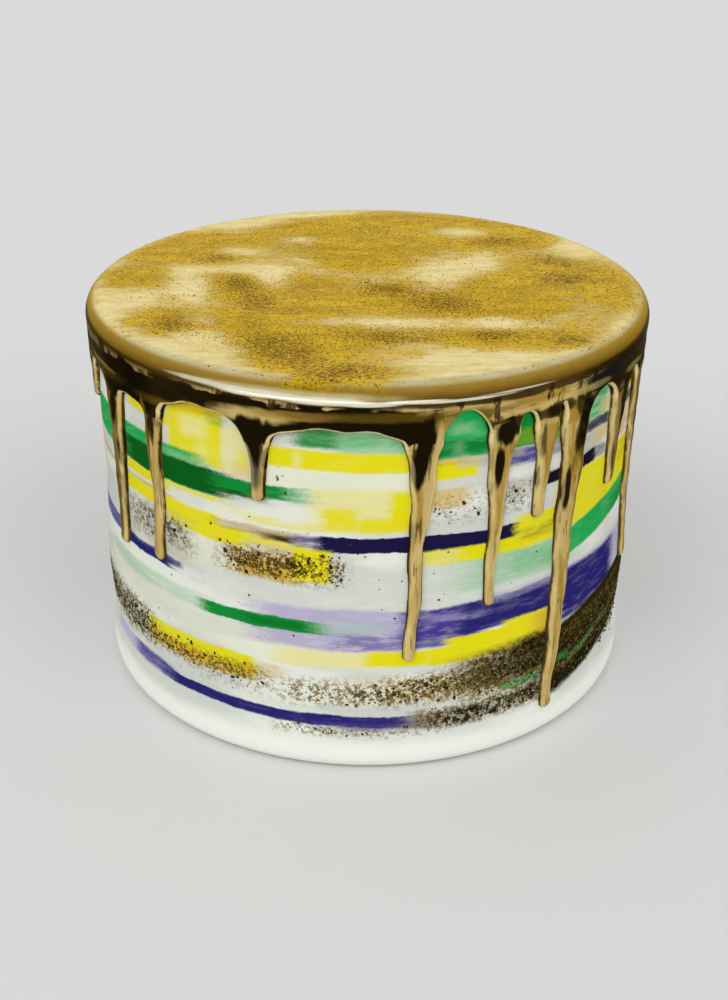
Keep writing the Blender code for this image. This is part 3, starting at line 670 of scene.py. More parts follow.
def make_glaze():
    """The poured coat with its rim, beaded edge and drips, as one surface that dives into the icing."""
    angles = glaze_columns()[None, :]
    rim_radius, rim_height = GLAZE_RADIUS - GLAZE_EDGE_ROUND, CAKE_HEIGHT - GLAZE_EDGE_ROUND

    top = on_side(angles, np.linspace(HUB, rim_radius, TOP_RINGS)[:, None], CAKE_HEIGHT)
    top[..., 2] += top_ripple(top)
    radii, heights = arc(rim_radius, rim_height, GLAZE_EDGE_ROUND, 90, 0, RIM_RINGS)[1:-1].T[..., None]
    rim = on_side(angles, radii, heights)
    lowest = min(d.tip_height for d in DRIPS) - 2 * MM
    heights = np.arange(rim_height, lowest, -GLAZE_STEP)[:, None]
    depth = glaze_depth(angles, heights)
    side = on_side(angles, side_radius(heights) + glaze_thickness(angles, heights, depth), heights)

    points = np.concatenate([top, rim, side])
    depths = np.concatenate([np.full((len(top) + len(rim), angles.size), WELL_INSIDE), depth])
    faces = grid_faces(*depths.shape)
    shown = depths.ravel()[faces].max(axis=1) > -DIVE
    points, faces, depths = keep_used(points.reshape(-1, 3), faces[shown], depths.ravel())
    glaze = mesh_object("poured_gold_glaze", points, faces)
    close_centre(glaze)
    placed = np.array([v.co for v in glaze.data.vertices])
    add_values(glaze, "depth", np.append(depths, WELL_INSIDE) / MM)
    add_values(glaze, "dust", dust_density(placed))
    add_values(glaze, "grit", grit_density(placed))
    return glaze


def close_centre(obj):
    """Fills the small hole that the innermost ring leaves at the axis."""
    shape = bmesh.new()
    shape.from_mesh(obj.data)
    shape.verts.ensure_lookup_table()
    ring = [e for e in shape.edges if e.is_boundary and max(v.co.xy.length for v in e.verts) < 1 * MM]
    centre = shape.verts.new((0, 0, sum(e.verts[0].co.z for e in ring) / len(ring)))
    for edge in ring:
        face = shape.faces.new((edge.verts[0], edge.verts[1], centre))
        face.smooth = True
        face.normal_update()
        if face.normal.z < 0:
            face.normal_flip()
    shape.to_mesh(obj.data)
    shape.free()


def make_icing():
    """The iced cake: its hidden top, its wavering side, its rounded foot and its flat base."""
    angles = np.arange(0, 360, COLUMN_COARSE)[None, :]
    shoulder = SIDE_RADIUS - CAKE_EDGE_ROUND
    foot = float(side_radius(FOOT_ROUND)) - FOOT_ROUND
    heights = np.arange(CAKE_TOP - CAKE_EDGE_ROUND, FOOT_ROUND, -ICING_STEP)[1:]
    profile = np.concatenate([
        flat(HUB, shoulder, CAKE_TOP, 8)[:-1],
        arc(shoulder, CAKE_TOP - CAKE_EDGE_ROUND, CAKE_EDGE_ROUND, 90, 0, 6),
        np.stack([side_radius(heights), heights], axis=1),
        arc(foot, FOOT_ROUND, FOOT_ROUND, 0, -90, 10)[1:],
        flat(foot, HUB, 0, 5)[1:],
    ])

    radii, z = profile.T[..., None]
    a = np.radians(angles)
    knife = np.sin(3 * a + z * 60) + 0.7 * np.sin(5 * a - z * 110 + 1) + 0.4 * np.sin(8 * a + z * 260)
    on_wall = smooth(z, 0.002, 0.012) * (1 - smooth(z, 0.118, 0.128)) * (radii > foot + 2 * MM)
    points = on_side(angles, radii + KNIFE_MARK * knife * on_wall, z)
    return mesh_object("painted_icing", points, grid_faces(*points.shape[:2]))


def base_shape(kind):
    """The points and triangles of a small round body: a lump of 20 sides or a crystal of 8."""
    shape = bmesh.new()
    if kind == "lump":
        bmesh.ops.create_icosphere(shape, subdivisions=1, radius=1)
    else:
        bmesh.ops.create_uvsphere(shape, u_segments=4, v_segments=2, radius=1)
    points = np.array([v.co for v in shape.verts])
    faces = np.array([[v.index for v in f.verts] for f in shape.faces])
    shape.free()
    return points, faces


def scatter(name, kind, centres, outward, widths, heights, draw):
    """Small uneven bodies joined in one mesh, each turned at random about its outward direction."""
    points, faces = base_shape(kind)
    count = len(centres)
    reference = np.where(np.abs(outward[:, 2:]) > 0.9, [[1.0, 0, 0]], [[0, 0, 1.0]])
    along = np.cross(reference, outward)
    along /= np.linalg.norm(along, axis=1, keepdims=True)
    up = np.cross(outward, along)
    turn = draw.uniform(0, 2 * np.pi, (count, 1))
    side_a = along * np.cos(turn) + up * np.sin(turn)
    side_b = up * np.cos(turn) - along * np.sin(turn)
    uneven = draw.uniform(0.7, 1.3, (count, len(points), 1))
    stretch = draw.uniform(0.65, 1.0, count)
    local = points[None] * uneven
    half = widths / 2
    placed = (
        centres[:, None]
        + side_a[:, None] * local[..., 0:1] * half[:, None, None]
        + side_b[:, None] * local[..., 1:2] * (half * stretch)[:, None, None]
        + outward[:, None] * local[..., 2:3] * heights[:, None, None]
    )
    joined = (faces[None] + (np.arange(count) * len(points))[:, None, None]).reshape(-1, 3)
    made = mesh_object(name, placed, joined)
    add_values(made, "tone", np.repeat(draw.uniform(0, 1, count), len(points)))
    return made


def skewed_widths(between, share):
    """Widths between the two given, most of them near the smaller."""
    return between[0] + (between[1] - between[0]) * share**2


def clear_of_drips(angle, height, radius):
    for drip in DRIPS:
        if height < drip.tip_height - GRAIN_CLEAR_OF_DRIP:
            continue
        off = wrap(angle - drip_angle(drip, height))
        if abs(math.radians(off)) * SIDE_RADIUS < drip_width(drip, height) / 2 + radius + GRAIN_CLEAR_OF_DRIP:
            return False
    return True


def grain_places():
    """Angle, height and radius of each coarse grain, by the rule that the solid follows."""
    draw = random.Random(GRAIN_SEED)
    places = []
    for start, end, low, high, count in GRAIN_BANDS:
        for i in range(count):
            for _ in range(30):
                angle = start + (end - start) * (i + draw.random()) / count
                height = draw.uniform(low, high)
                radius = draw.uniform(*GRAIN_WIDTH) / 2
                here = Vector(on_side(angle, SIDE_RADIUS, height))
                others = ((Vector(on_side(a, SIDE_RADIUS, z)), r) for a, z, r in places)
                spaced = all((here - there).length > radius + r for there, r in others)
                if spaced and clear_of_drips(angle, height, radius):
                    places.append((angle, height, radius))
                    break
    return np.array(places)


def make_side_flecks(draw):
    """Dark sugar flecks on the side: the coarse grains of the solid, and the finer ones between them."""
    coarse = grain_places()
    angles, heights, widths = [coarse[:, 0]], [coarse[:, 1]], [coarse[:, 2] * 2]
    for start, end, low, high, count in FLECK_BANDS:
        angle = draw.uniform(start, end, count)
        height = draw.triangular(low, (low + high) / 2, high, count)
        clear = glaze_depth(angle, height) < -0.6 * MM
        angles.append(angle[clear])
        heights.append(height[clear])
        widths.append(skewed_widths(FLECK_WIDTH, draw.random(count)[clear]))
    angle, height, width = (np.concatenate(v) for v in (angles, heights, widths))
    outward = on_side(angle, 1.0, 0.0)
    proud = GRAIN_PROUD * width / GRAIN_WIDTH[1]
    centres = on_side(angle, side_radius(height) - 0.1 * proud, height)
    return scatter("sugar_flecks", "lump", centres, outward, width, proud, draw)


# A patch of the poured top: its place and its reach in mm, with +y to the back, and its lean in degrees
Patch = namedtuple("Patch", "x y reach_x reach_y lean", defaults=(0,))
DUSTY = table(
    Patch,
    (-62, 54, 20, 9), (-76, 34, 22, 15), (10, 80, 34, 15), (-26, 70, 20, 10), (60, 72, 22, 10, -30),
    (56, 52, 20, 9), (74, 8, 22, 18), (46, -6, 12, 14), (55, -26, 17, 12), (-90, 2, 14, 14),
    (0, 45, 32, 13), (-6, 26, 20, 8), (8, -18, 12, 12), (-46, -12, 9, 24, 25), (-22, -8, 12, 14),
    (-44, -48, 9, 14, 15), (-14, -62, 22, 14), (26, -24, 20, 12), (42, -60, 24, 8), (66, -62, 12, 8),
    (-72, -46, 12, 14, 30), (-30, -74, 12, 16, 35), (-8, -96, 18, 9, 20), (-18, -30, 18, 10),
    (92, -8, 9, 22),
)
GRITTY = table(
    Patch,
    (-34, -66, 9, 10), (-24, -80, 11, 11), (-10, -94, 16, 8, 20), (-48, -4, 6, 10, 20),
    (-40, -24, 7, 11, 20), (8, -7, 11, 7, -20), (28, -24, 13, 10, -15), (75, 28, 13, 9, -30),
    (-68, -50, 8, 9, 30), (43, -57, 9, 5), (70, -62, 8, 5), (55, 55, 12, 6), (75, 5, 12, 8),
    (-60, 28, 10, 6), (8, -60, 14, 7),
)
BARE = table(
    Patch,
    (-68, -4, 8, 24, 12), (-50, 14, 24, 6), (-36, 4, 7, 14, 15), (-56, -68, 14, 20, 32), (-86, -22, 10, 18),
    (-52, 78, 22, 10, 25), (-26, 93, 24, 6, 5), (41, 68, 12, 8), (32, 14, 14, 16), (44, 26, 8, 16),
    (83, 46, 9, 16, 20), (38, -82, 32, 12), (5, -45, 24, 6), (46, -44, 12, 7), (-26, 54, 9, 5),
    (-52, 38, 10, 6), (-24, 24, 8, 5),
)
BARE_RIM = 96 * MM


def patches(points, spots):
    """How far each point of the top lies in any of the patches, from 0 to 1."""
    x, y = points[..., 0] / MM, points[..., 1] / MM
    clear = np.ones(np.shape(x))
    for spot in spots:
        cos, sin = math.cos(math.radians(spot.lean)), math.sin(math.radians(spot.lean))
        along = (x - spot.x) * cos + (y - spot.y) * sin
        across = (y - spot.y) * cos - (x - spot.x) * sin
        clear *= 1 - np.exp(-((along / spot.reach_x) ** 2 + (across / spot.reach_y) ** 2))
    return 1 - clear


def dust_density(points):
    """How thick the gold dust lies at each point of the top, from 0 to 1."""
    edge = smooth(np.hypot(points[..., 0], points[..., 1]), BARE_RIM - 3 * MM, BARE_RIM + 6 * MM)
    lies = 0.42 + 0.70 * patches(points, DUSTY) - 0.55 * patches(points, BARE)
    return np.clip(lies - 0.3 * edge, 0, 1)


def grit_density(points):
    """How thick the dark grains lie at each point of the top, from 0 to 1."""
    return np.clip(patches(points, GRITTY) * (0.4 + 0.6 * dust_density(points)), 0, 1)


GOLD_DUST_COUNT = 14000
BRONZE_DUST_COUNT = 10000
DUST_WIDTH = (0.4 * MM, 1.0 * MM)
DUST_HEIGHT_SHARE = 0.28


def make_top_dust(name, count, density, draw):
    """Crystals strewn over the top, as thick as the density at each place."""
    tries = draw.uniform(-GLAZE_RADIUS, GLAZE_RADIUS, (count * 12, 2))
    points = np.concatenate([tries, np.full((len(tries), 1), CAKE_HEIGHT)], axis=1)
    reach = np.hypot(points[:, 0], points[:, 1])
    lies = (reach < GLAZE_RADIUS - 4 * MM) & (draw.random(len(points)) < 0.04 + 0.9 * density(points))
    centres = points[lies][:count]
    over_rim = np.maximum(0.0, np.hypot(centres[:, 0], centres[:, 1]) - (GLAZE_RADIUS - GLAZE_EDGE_ROUND))
    centres[:, 2] += top_ripple(centres) - (GLAZE_EDGE_ROUND - np.sqrt(GLAZE_EDGE_ROUND**2 - over_rim**2))
    widths = skewed_widths(DUST_WIDTH, draw.random(len(centres)))
    proud = widths * DUST_HEIGHT_SHARE
    centres[:, 2] = np.minimum(centres[:, 2], CAKE_HEIGHT - 1.35 * proud)
    outward = np.tile([[0.0, 0.0, 1.0]], (len(centres), 1))
    return scatter(name, "crystal", centres, outward, widths, proud, draw)


class Nodes:
    """Short ways to add shader nodes to a tree and link them, where a paint's name stands for its colour."""

    def __init__(self, tree):
        self.tree = tree

    def add(self, kind, *inputs, output=0, **settings):
        made = self.tree.nodes.new(kind)
        for key, value in settings.items():
            setattr(made, key, value)
        for socket, value in zip(made.inputs, inputs):
            self.feed(socket, value)
        return made.outputs[output]

    def feed(self, socket, value):
        if isinstance(value, bpy.types.NodeSocket):
            self.tree.links.new(value, socket)
        elif isinstance(value, str):
            socket.default_value = linear_paint(value)
        else:
            socket.default_value = value

    def dress(self, node, **values):
        """Feeds the named inputs of a node, with _ for each space in their names."""
        for name, value in values.items():
            self.feed(node.inputs[name.replace("_", " ")], value)

    def maths(self, operation, *inputs, clamp=False):
        return self.add("ShaderNodeMath", *inputs, operation=operation, use_clamp=clamp)

    def times(self, a, b):
        return self.maths("MULTIPLY", a, b)

    def times_plus(self, a, b, c):
        return self.maths("MULTIPLY_ADD", a, b, c)

    def swing(self, noise, gain, base=None):
        """A noise's swing about its middle, scaled, and added to the base where one is given."""
        swing = self.maths("SUBTRACT", noise, 0.5)
        return self.times(swing, gain) if base is None else self.times_plus(swing, gain, base)

    def ease(self, value, start, end, low=0, high=1):
        made = self.tree.nodes.new("ShaderNodeMapRange")
        made.interpolation_type = "SMOOTHSTEP"
        made.clamp = False
        for socket, given in zip(made.inputs, (value, start, end, low, high)):
            self.feed(socket, given)
        return made.outputs[0]

    def mix(self, share, a, b):
        made = self.tree.nodes.new("ShaderNodeMix")
        made.data_type = "RGBA"
        for index, value in ((0, share), (6, a), (7, b)):
            self.feed(made.inputs[index], value)
        return made.outputs[2]

    def stretched(self, point, x, y, z):
        return self.add("ShaderNodeVectorMath", point, (x, y, z), operation="MULTIPLY")

    def noise(self, vector, scale, detail=2, roughness=0.5):
        made = self.tree.nodes.new("ShaderNodeTexNoise")
        self.dress(made, Vector=vector, Scale=scale, Detail=detail, Roughness=roughness)
        return made.outputs[0]

    def value_of(self, name):
        return self.add("ShaderNodeAttribute", output=2, attribute_name=name)

    def relief(self, shader, height, depth, strength):
        bump = self.tree.nodes.new("ShaderNodeBump")
        self.dress(bump, Strength=strength, Distance=depth, Height=height)
        self.feed(shader.inputs["Normal"], bump.outputs[0])

    def places(self):
        """The point, its angle from the front both ways round and its height in mm."""
        point = self.add("ShaderNodeTexCoord", output=3)
        axes = self.tree.nodes.new("ShaderNodeSeparateXYZ")
        self.feed(axes.inputs[0], point)
        x, y, z = axes.outputs
        angle = self.maths("DEGREES", self.maths("ARCTAN2", x, self.times(y, -1)))
        round_angle = self.maths("FLOORED_MODULO", angle, 360)
        return point, angle, round_angle, self.times(z, 1000)

    def gleam(self, colour, patches_of_light, angle, height, ragged):
        """Paints each patch of reflected light or dark into the colour, as an oval with an uneven rim."""
        for number, patch in enumerate(patches_of_light):
            rise = self.maths("SUBTRACT", height, patch.height + 0.001 * number)
            across = self.times_plus(angle, 1 / patch.across, -patch.angle / patch.across)
            across = self.times_plus(rise, -patch.lean / patch.across, across) if patch.lean else across
            up = self.times(rise, 1 / patch.up)
            reach = self.times_plus(across, across, self.times_plus(up, up, ragged))
            inside = self.ease(reach, 1 + patch.blur, 1 - patch.blur)
            covered = self.times(inside, patch.cover - 0.0001 * number)
            colour = self.mix(covered, colour, patch.paint)
        return colour

    def brush(self, colour, strokes, angle, height, ragged, dry):
        """Lays the strokes over the colour, one after another."""
        group = bpy.data.node_groups.get("brush_stroke") or make_stroke_group()
        for number, stroke in enumerate(strokes):
            laid = self.tree.nodes.new("ShaderNodeGroup")
            laid.node_tree = group
            # No two strokes are quite alike, or the renderer would merge parts of them and run out of room
            ends, edges, cover, broken = (v * (1 + 0.0002 * number) for v in stroke[5:9])
            middle, centre = (stroke.start + stroke.end) / 2, (stroke.low + stroke.high) / 2
            lift = centre - (stroke.start - 0.0002 * number) * stroke.tilt
            half_along, half_up = (stroke.end - stroke.start) / 2, (stroke.high - stroke.low) / 2
            values = (
                colour, stroke.paint, angle, height, ragged, dry, middle, half_along + ends,
                half_along - ends, ends, lift, -stroke.tilt, half_up + edges, half_up - edges, cover, -broken,
            )
            for socket, value in zip(laid.inputs, values):
                self.feed(socket, value)
            colour = laid.outputs[0]
        return colour


def new_material(name):
    made = bpy.data.materials.new(name)
    made.use_nodes = True
    return made, Nodes(made.node_tree), made.node_tree.nodes["Principled BSDF"]


def make_stroke_group():
    """One stroke of paint laid over the colour below it, with ragged ends, soft edges and dry streaks."""
    group = bpy.data.node_groups.new("brush_stroke", "ShaderNodeTree")
    colours = ["Below", "Paint"]
    numbers = "Angle Height Ragged Dry Middle OutAlong InAlong Sway Lift Fall OutUp InUp Cover Broken"
    for name in colours + numbers.split():
        kind = "NodeSocketColor" if name in colours else "NodeSocketFloat"
        group.interface.new_socket(name, in_out="INPUT", socket_type=kind)
    group.interface.new_socket("Colour", in_out="OUTPUT", socket_type="NodeSocketColor")
    nodes = Nodes(group)
    given = group.nodes.new("NodeGroupInput").outputs
    along = nodes.times_plus(given["Ragged"], given["Sway"], given["Angle"])
    along = nodes.maths("ABSOLUTE", nodes.maths("SUBTRACT", along, given["Middle"]))
    level = nodes.times_plus(given["Angle"], given["Fall"], given["Height"])
    level = nodes.maths("ABSOLUTE", nodes.maths("SUBTRACT", level, given["Lift"]))
    inside = nodes.maths(
        "MULTIPLY",
        nodes.ease(along, given["OutAlong"], given["InAlong"]),
        nodes.ease(level, given["OutUp"], given["InUp"]),
    )
    wet = nodes.maths("MAXIMUM", nodes.times_plus(given["Dry"], given["Broken"], given["Cover"]), 0)
    result = nodes.mix(nodes.times(inside, wet), given["Below"], given["Paint"])
    group.links.new(result, group.nodes.new("NodeGroupOutput").inputs[0])
    return group


def reaching(strokes, start, end):
    """The strokes that can reach into the stretch between two angles."""
    return [s for s in strokes if s.end + 3 * s.ends > start and s.start - 3 * s.ends < end]


def icing_material(start, end):
    """White icing with the strokes painted between two angles, faint brush relief and a soft sheen."""
    made, nodes, shader = new_material(f"painted_icing_{start % 360}")
    point, angle, round_angle, height = nodes.places()
    broad = nodes.noise(nodes.stretched(point, 1, 1, 2), 45)
    fine = nodes.noise(nodes.stretched(point, 1, 1, 1.6), 420, 3)
    streak = nodes.noise(nodes.stretched(point, 0.05, 0.05, 1), 900, 3, 0.6)
    dry = nodes.ease(nodes.noise(nodes.stretched(point, 0.22, 0.22, 1), 480, 4, 0.65), 0.42, 0.68)
    powder = nodes.noise(point, 1600, 2)

    height = nodes.swing(broad, 3, height)
    height = nodes.swing(fine, 1, height)
    dusting = nodes.noise(point, 800, 3, 0.7)
    soft = nodes.swing(streak, 1.7)
    ragged = nodes.swing(dusting, 1.8, soft)
    height = nodes.swing(dusting, 0.6, height)
    grains = nodes.ease(nodes.noise(point, 560, 4, 0.75), 0.42, 0.58)

    whites = nodes.ease(nodes.noise(nodes.stretched(point, 0.3, 0.3, 1), 70, 3), 0.4, 0.6)
    colour = nodes.mix(whites, "white", "grey_white")
    # The icing turns whiter towards the foot, from about 17 mm down
    colour = nodes.mix(nodes.ease(height, 17, 9), colour, "foot_white")
    back = start % 360, (end - 1) % 360 + 1
    front = start if start < 90 else -360, end if end < 180 else 360
    for behind, before, gaps in (BACK_STROKES, FRONT_STROKES, dry), (BACK_STAINS, FRONT_STAINS, grains):
        colour = nodes.brush(colour, reaching(behind, *back), round_angle, height, ragged, gaps)
        colour = nodes.brush(colour, reaching(before, *front), angle, height, ragged, gaps)
    nodes.dress(shader, Base_Color=colour, Roughness=nodes.ease(streak, 0.3, 0.7, 0.4, 0.52))
    # The dark sugar is matt, or it would shine grey
    lightness = nodes.add("ShaderNodeRGBToBW", colour)
    nodes.dress(shader, Specular_IOR_Level=nodes.times(nodes.ease(lightness, 0, 0.5), 0.15))
    relief = nodes.times_plus(powder, 0.15, nodes.times_plus(streak, 0.6, dry))
    nodes.relief(shader, relief, 0.12 * MM, 0.35)
    return made


def gold_material():
    """Edible gold: champagne where bare, grainy ochre in the dust, tan on the side with painted reflections and
    shade.
    """
    made, nodes, shader = new_material("gold_glaze")
    point, angle, round_angle, height = nodes.places()
    depth = nodes.value_of("depth")
    brushed = nodes.noise(nodes.stretched(point, 0.16, 1, 1), 300, 4, 0.6)
    clouds = nodes.noise(nodes.stretched(point, 0.45, 1, 1), 150, 5, 0.72)
    grain = nodes.noise(point, 950, 2, 0.6)

    dust = nodes.ease(nodes.times_plus(clouds, 1.9, nodes.value_of("dust")), 1.05, 1.65)
    grit = nodes.swing(clouds, 0.8, nodes.value_of("grit"))
    on_flat = nodes.ease(height, 148.2, 149.5)
    dustless = nodes.ease(nodes.value_of("dust"), 0.35, 0)
    # A sheen painted in streaks over the bare gold where no dust lies
    champagne_sheen = nodes.times(dustless, nodes.ease(brushed, 0.3, 0.7, 0.2, 0.7))
    bare = nodes.mix(nodes.ease(brushed, 0.25, 0.8, 0.2), "dull_champagne", "champagne")
    bare = nodes.mix(champagne_sheen, bare, "champagne_sheen")
    # Bare gold is painted darker as shade where the top begins to round over
    bare = nodes.mix(on_flat, "shaded_rim_gold", bare)
    ochre = nodes.mix(nodes.ease(clouds, 0.35, 0.65), "dark_ochre", "ochre")
    top = nodes.mix(dust, bare, ochre)
    top = nodes.mix(nodes.ease(grit, 0.2, 0.9, 0, 0.6), top, "gritty_ochre")
    speck = nodes.ease(nodes.times_plus(grit, 0.10, grain), 0.58, 0.66)
    much = nodes.times_plus(dust, 0.8, 0.15)
    top = nodes.mix(nodes.times(speck, much), top, "ochre_speck")
    glint = nodes.ease(grain, 0.42, 0.32)
    top = nodes.mix(nodes.times(glint, nodes.times(much, 0.7)), top, "ochre_glint")

    runs = nodes.noise(nodes.stretched(point, 1, 1, 0.18), 260, 3)
    blotch = nodes.noise(nodes.stretched(point, 1, 1, 0.35), 170, 3)
    level = nodes.noise(nodes.stretched(point, 0.22, 0.22, 1), 300, 2, 0.5)
    coat = nodes.ease(height, 124, 131)
    flow = nodes.times_plus(nodes.maths("SUBTRACT", level, runs), coat, runs)
    side = nodes.mix(nodes.ease(flow, 0.38, 0.62), "tan", "pale_gold")
    streaks = nodes.noise(nodes.stretched(point, 1, 1, 0.1), 560, 3, 0.65)
    streaks = nodes.times_plus(coat, -0.3, streaks)
    side = nodes.mix(nodes.ease(streaks, 0.54, 0.64, 0, 0.85), side, "brown")
    # Dark reflections painted in random patches, more of them higher up
    spots = nodes.times(nodes.ease(blotch, 0.58, 0.64), nodes.ease(height, 70, 118, 0.2, 0.9))
    side = nodes.mix(spots, side, "painted_dark")
    ragged = nodes.swing(blotch, 1.8)
    ragged = nodes.swing(runs, 2.4, ragged)
    cloudy = nodes.swing(blotch, 1.2)
    swirl = nodes.swing(level, 2, cloudy)
    # Dark and bright reflections painted over the coat and the drips
    side = nodes.gleam(side, COAT_BACK, round_angle, height, swirl)
    side = nodes.gleam(side, COAT_FRONT, angle, height, swirl)
    side = nodes.gleam(side, GOLD_BACK, round_angle, height, ragged)
    side = nodes.gleam(side, GOLD_FRONT, angle, height, ragged)
    # A highlight painted along the bead just inside the glaze's outline, fuller on the arches, and a shadow
    # painted as a thin dark line at the outline itself
    uneven = nodes.swing(runs, 0.9, depth)
    bead = nodes.times(nodes.ease(uneven, 0.2, 0.45), nodes.ease(uneven, 1.5, 0.95))
    on_arch = nodes.ease(height, 124, 129, 0.3, 1)
    side = nodes.mix(nodes.times(bead, on_arch), side, "bright_gold")
    side = nodes.mix(nodes.ease(uneven, 0.32, 0.08, 0, 0.85), side, "painted_dark")

    # Shade painted where the rim rounds over: the top's colour darkens through brown to dark brown above the side
    wander = nodes.times_plus(ragged, 0.15, nodes.times_plus(swirl, 0.25, height))
    rim = nodes.mix(nodes.ease(wander, 142, 144.5), side, "rim_shade")
    rim = nodes.mix(nodes.ease(wander, 143.8, 146.6), rim, "rim_brown")
    colour = nodes.mix(nodes.ease(wander, 145.6, 149.2), rim, top)
    # The highlights painted along the rim
    colour = nodes.gleam(colour, RIM_LIGHT, angle, height, nodes.times(swirl, 0.6))
    nodes.dress(shader, Base_Color=colour)
    sandy = nodes.times(dust, on_flat)
    metal = nodes.times_plus(sandy, -0.5, 0.75)
    metal = nodes.times_plus(bead, -0.45, metal)
    nodes.dress(shader, Metallic=metal, Specular_IOR_Level=0.1, Specular_Tint="warm_tint")
    matte = nodes.times(nodes.ease(height, 145, 149.4), nodes.times_plus(dust, 0.16, 0.16))
    nodes.dress(shader, Roughness=nodes.maths("ADD", nodes.ease(runs, 0.3, 0.7, 0.16, 0.28), matte))
    grainy = nodes.times(nodes.times(grain, dust), on_flat)
    lines = nodes.times(nodes.times(brushed, 0.05), on_flat)
    relief = nodes.maths("ADD", nodes.maths("ADD", lines, nodes.times(flow, 0.4)), grainy)
    nodes.relief(shader, relief, 0.25 * MM, 0.7)
    return made


def grain_material(paint, metallic, roughness):
    """Grains that vary from one to the next between a paint and its light form."""
    made, nodes, shader = new_material(paint)
    point = nodes.add("ShaderNodeTexCoord", output=3)
    mottle = nodes.noise(point, 2500)
    tone = nodes.swing(mottle, 0.5, nodes.value_of("tone"))
    colour = nodes.mix(nodes.maths("POWER", tone, 1.5, clamp=True), paint, "light_" + paint)
    nodes.dress(shader, Base_Color=colour, Metallic=metallic, Roughness=roughness, Specular_IOR_Level=0.15)
    return made


FRONT_END = 92


def paint_in_stretches(icing):
    """Gives each stretch of the side a material with only its own strokes, which is quicker to render."""
    for start, end in (-FRONT_END, 0), (0, FRONT_END), (FRONT_END, 360 - FRONT_END):
        icing.data.materials.append(icing_material(start, end))
    for face in icing.data.polygons:
        angle = math.degrees(math.atan2(face.center.x, -face.center.y))
        face.material_index = 2 if abs(angle) > FRONT_END else int(angle > 0)


def finish_piece(obj, material, slot, *nodes):
    if material:
        obj.data.materials.append(material)
    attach(obj, "root")
    if nodes:
        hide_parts(*nodes)


def make_pieces():
    draw = np.random.default_rng(FLECK_SEED)
    icing = make_icing()
    paint_in_stretches(icing)
    finish_piece(icing, None, "white_icing", "cake_body")
    finish_piece(make_glaze(), gold_material(), "gold_glaze", "gold_glaze")
    finish_piece(make_side_flecks(draw), grain_material("dark_sugar", 0, 0.6), "gold_glaze")
    gold_dust = make_top_dust("gold_dust", GOLD_DUST_COUNT, dust_density, draw)
    finish_piece(gold_dust, grain_material("gold_sugar", 0.2, 0.45), "gold_glaze")
    bronze_dust = make_top_dust("bronze_dust", BRONZE_DUST_COUNT, grit_density, draw)
    finish_piece(bronze_dust, grain_material("bronze_sugar", 0, 0.6), "gold_glaze")


def light(name, kind, location, energy, size, target=(0, 0, 0.08), glossy_only=False):
    """A lamp that the camera doesn't see."""
    lamp = bpy.data.lights.new(name, kind)
    lamp.energy = energy
    if kind == "SUN":
        lamp.angle = math.radians(size)
    else:
        lamp.shape = "RECTANGLE"
        lamp.size, lamp.size_y = size
    made = bpy.data.objects.new(name, lamp)
    made.location = location
    made.rotation_euler = (Vector(target) - Vector(location)).to_track_quat("-Z", "Y").to_euler()
    made.visible_camera = False
    made.visible_diffuse = not glossy_only
    made.visible_glossy = glossy_only
    bpy.context.scene.collection.objects.link(made)


ROOM_LIGHT = 0.68
FLOOR_RADIUS = 6.0
FLOOR_DROP = 0.2 * MM


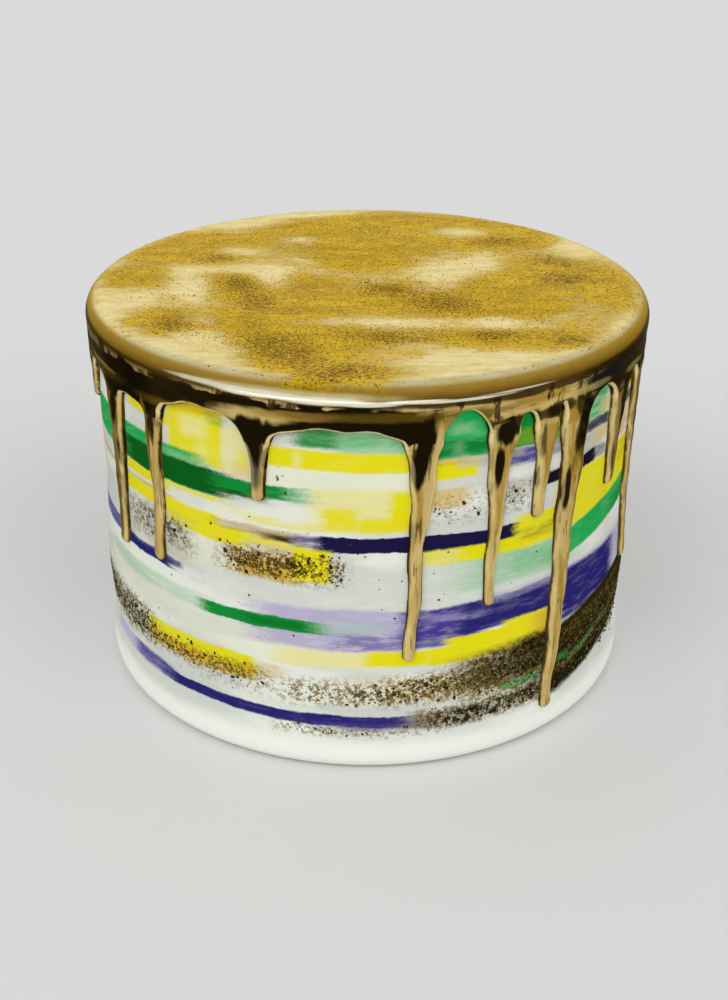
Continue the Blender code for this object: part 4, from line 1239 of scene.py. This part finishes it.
def make_studio():
    """A plain pale floor under soft, even light, with strips that show only in the gold."""
    scene = bpy.context.scene
    scene.view_settings.view_transform = "Standard"
    world = bpy.data.worlds.new("soft_room")
    world.use_nodes = True
    sky = world.node_tree.nodes["Background"]
    sky.inputs["Color"].default_value = (1, 1, 1, 1)
    sky.inputs["Strength"].default_value = ROOM_LIGHT
    scene.world = world

    under = (0, 0, -FLOOR_DROP)
    bpy.ops.mesh.primitive_circle_add(vertices=96, radius=FLOOR_RADIUS, fill_type="NGON", location=under)
    floor = bpy.context.object
    floor.name = "pale_floor"
    made, nodes, shader = new_material("pale_floor")
    nodes.dress(shader, Base_Color="floor", Roughness=0.9, Specular_IOR_Level=0)
    floor.data.materials.append(made)
    for name, start, end in (("left_flag", -150, -85), ("right_flag", 85, 150)):
        dark_flag(name, start, end)

    light("key", "SUN", (-1.2, -1.5, 1.9), 0.78, 35)
    light("fill", "SUN", (1.2, -1.3, 1.5), 0.62, 40)
    light("front_strip", "AREA", (-0.35, -1.6, 0.05), 1.6, (2.4, 0.05), (0, 0, 0.144), glossy_only=True)
    light("back_box", "AREA", (-0.2, 2.0, 1.1), 6.5, (3.0, 1.0), glossy_only=True)


FLAG_INSIDE = 0.13
FLAG_OUTSIDE = 1.2


def dark_flag(name, start, end):
    """A dark card on the floor that only the gold reflects."""
    angles = np.linspace(start, end, 24)
    points = np.concatenate([on_side(angles, FLAG_INSIDE, 0.1 * MM), on_side(angles, FLAG_OUTSIDE, 0.1 * MM)])
    i = np.arange(len(angles) - 1)
    card = mesh_object(name, points, np.stack([i, i + 1, i + 1 + len(angles), i + len(angles)], axis=1))
    made, nodes, shader = new_material(name)
    nodes.dress(shader, Base_Color="flag")
    card.data.materials.append(made)
    card.visible_camera = False
    card.visible_diffuse = False
    card.visible_shadow = False


# The camera stands where the photograph was taken from
CAMERA_DISTANCE = 0.58327
CAMERA_ELEVATION = 25.157
CAMERA_TARGET = Vector((0, 0, 0.075))
FOCAL_LENGTH = 52.28
PICTURE_SHIFT = (-0.00233, -0.0402)
CAMERA_ROLL = 0.439


def make_camera():
    lens = bpy.data.cameras.new("camera")
    lens.lens = FOCAL_LENGTH
    lens.sensor_width = 36.0
    lens.shift_x, lens.shift_y = PICTURE_SHIFT
    lens.clip_start = 0.01
    camera = bpy.data.objects.new("camera", lens)
    lift = math.radians(CAMERA_ELEVATION)
    away = Vector((0, -math.cos(lift), math.sin(lift)))
    camera.location = CAMERA_TARGET + away * CAMERA_DISTANCE
    facing = (-away).to_track_quat("-Z", "Y").to_matrix().to_4x4()
    camera.rotation_euler = (facing @ Matrix.Rotation(math.radians(CAMERA_ROLL), 4, "Z")).to_euler()
    bpy.context.scene.collection.objects.link(camera)
    bpy.context.scene.camera = camera


make_camera()
make_pieces()
make_studio()
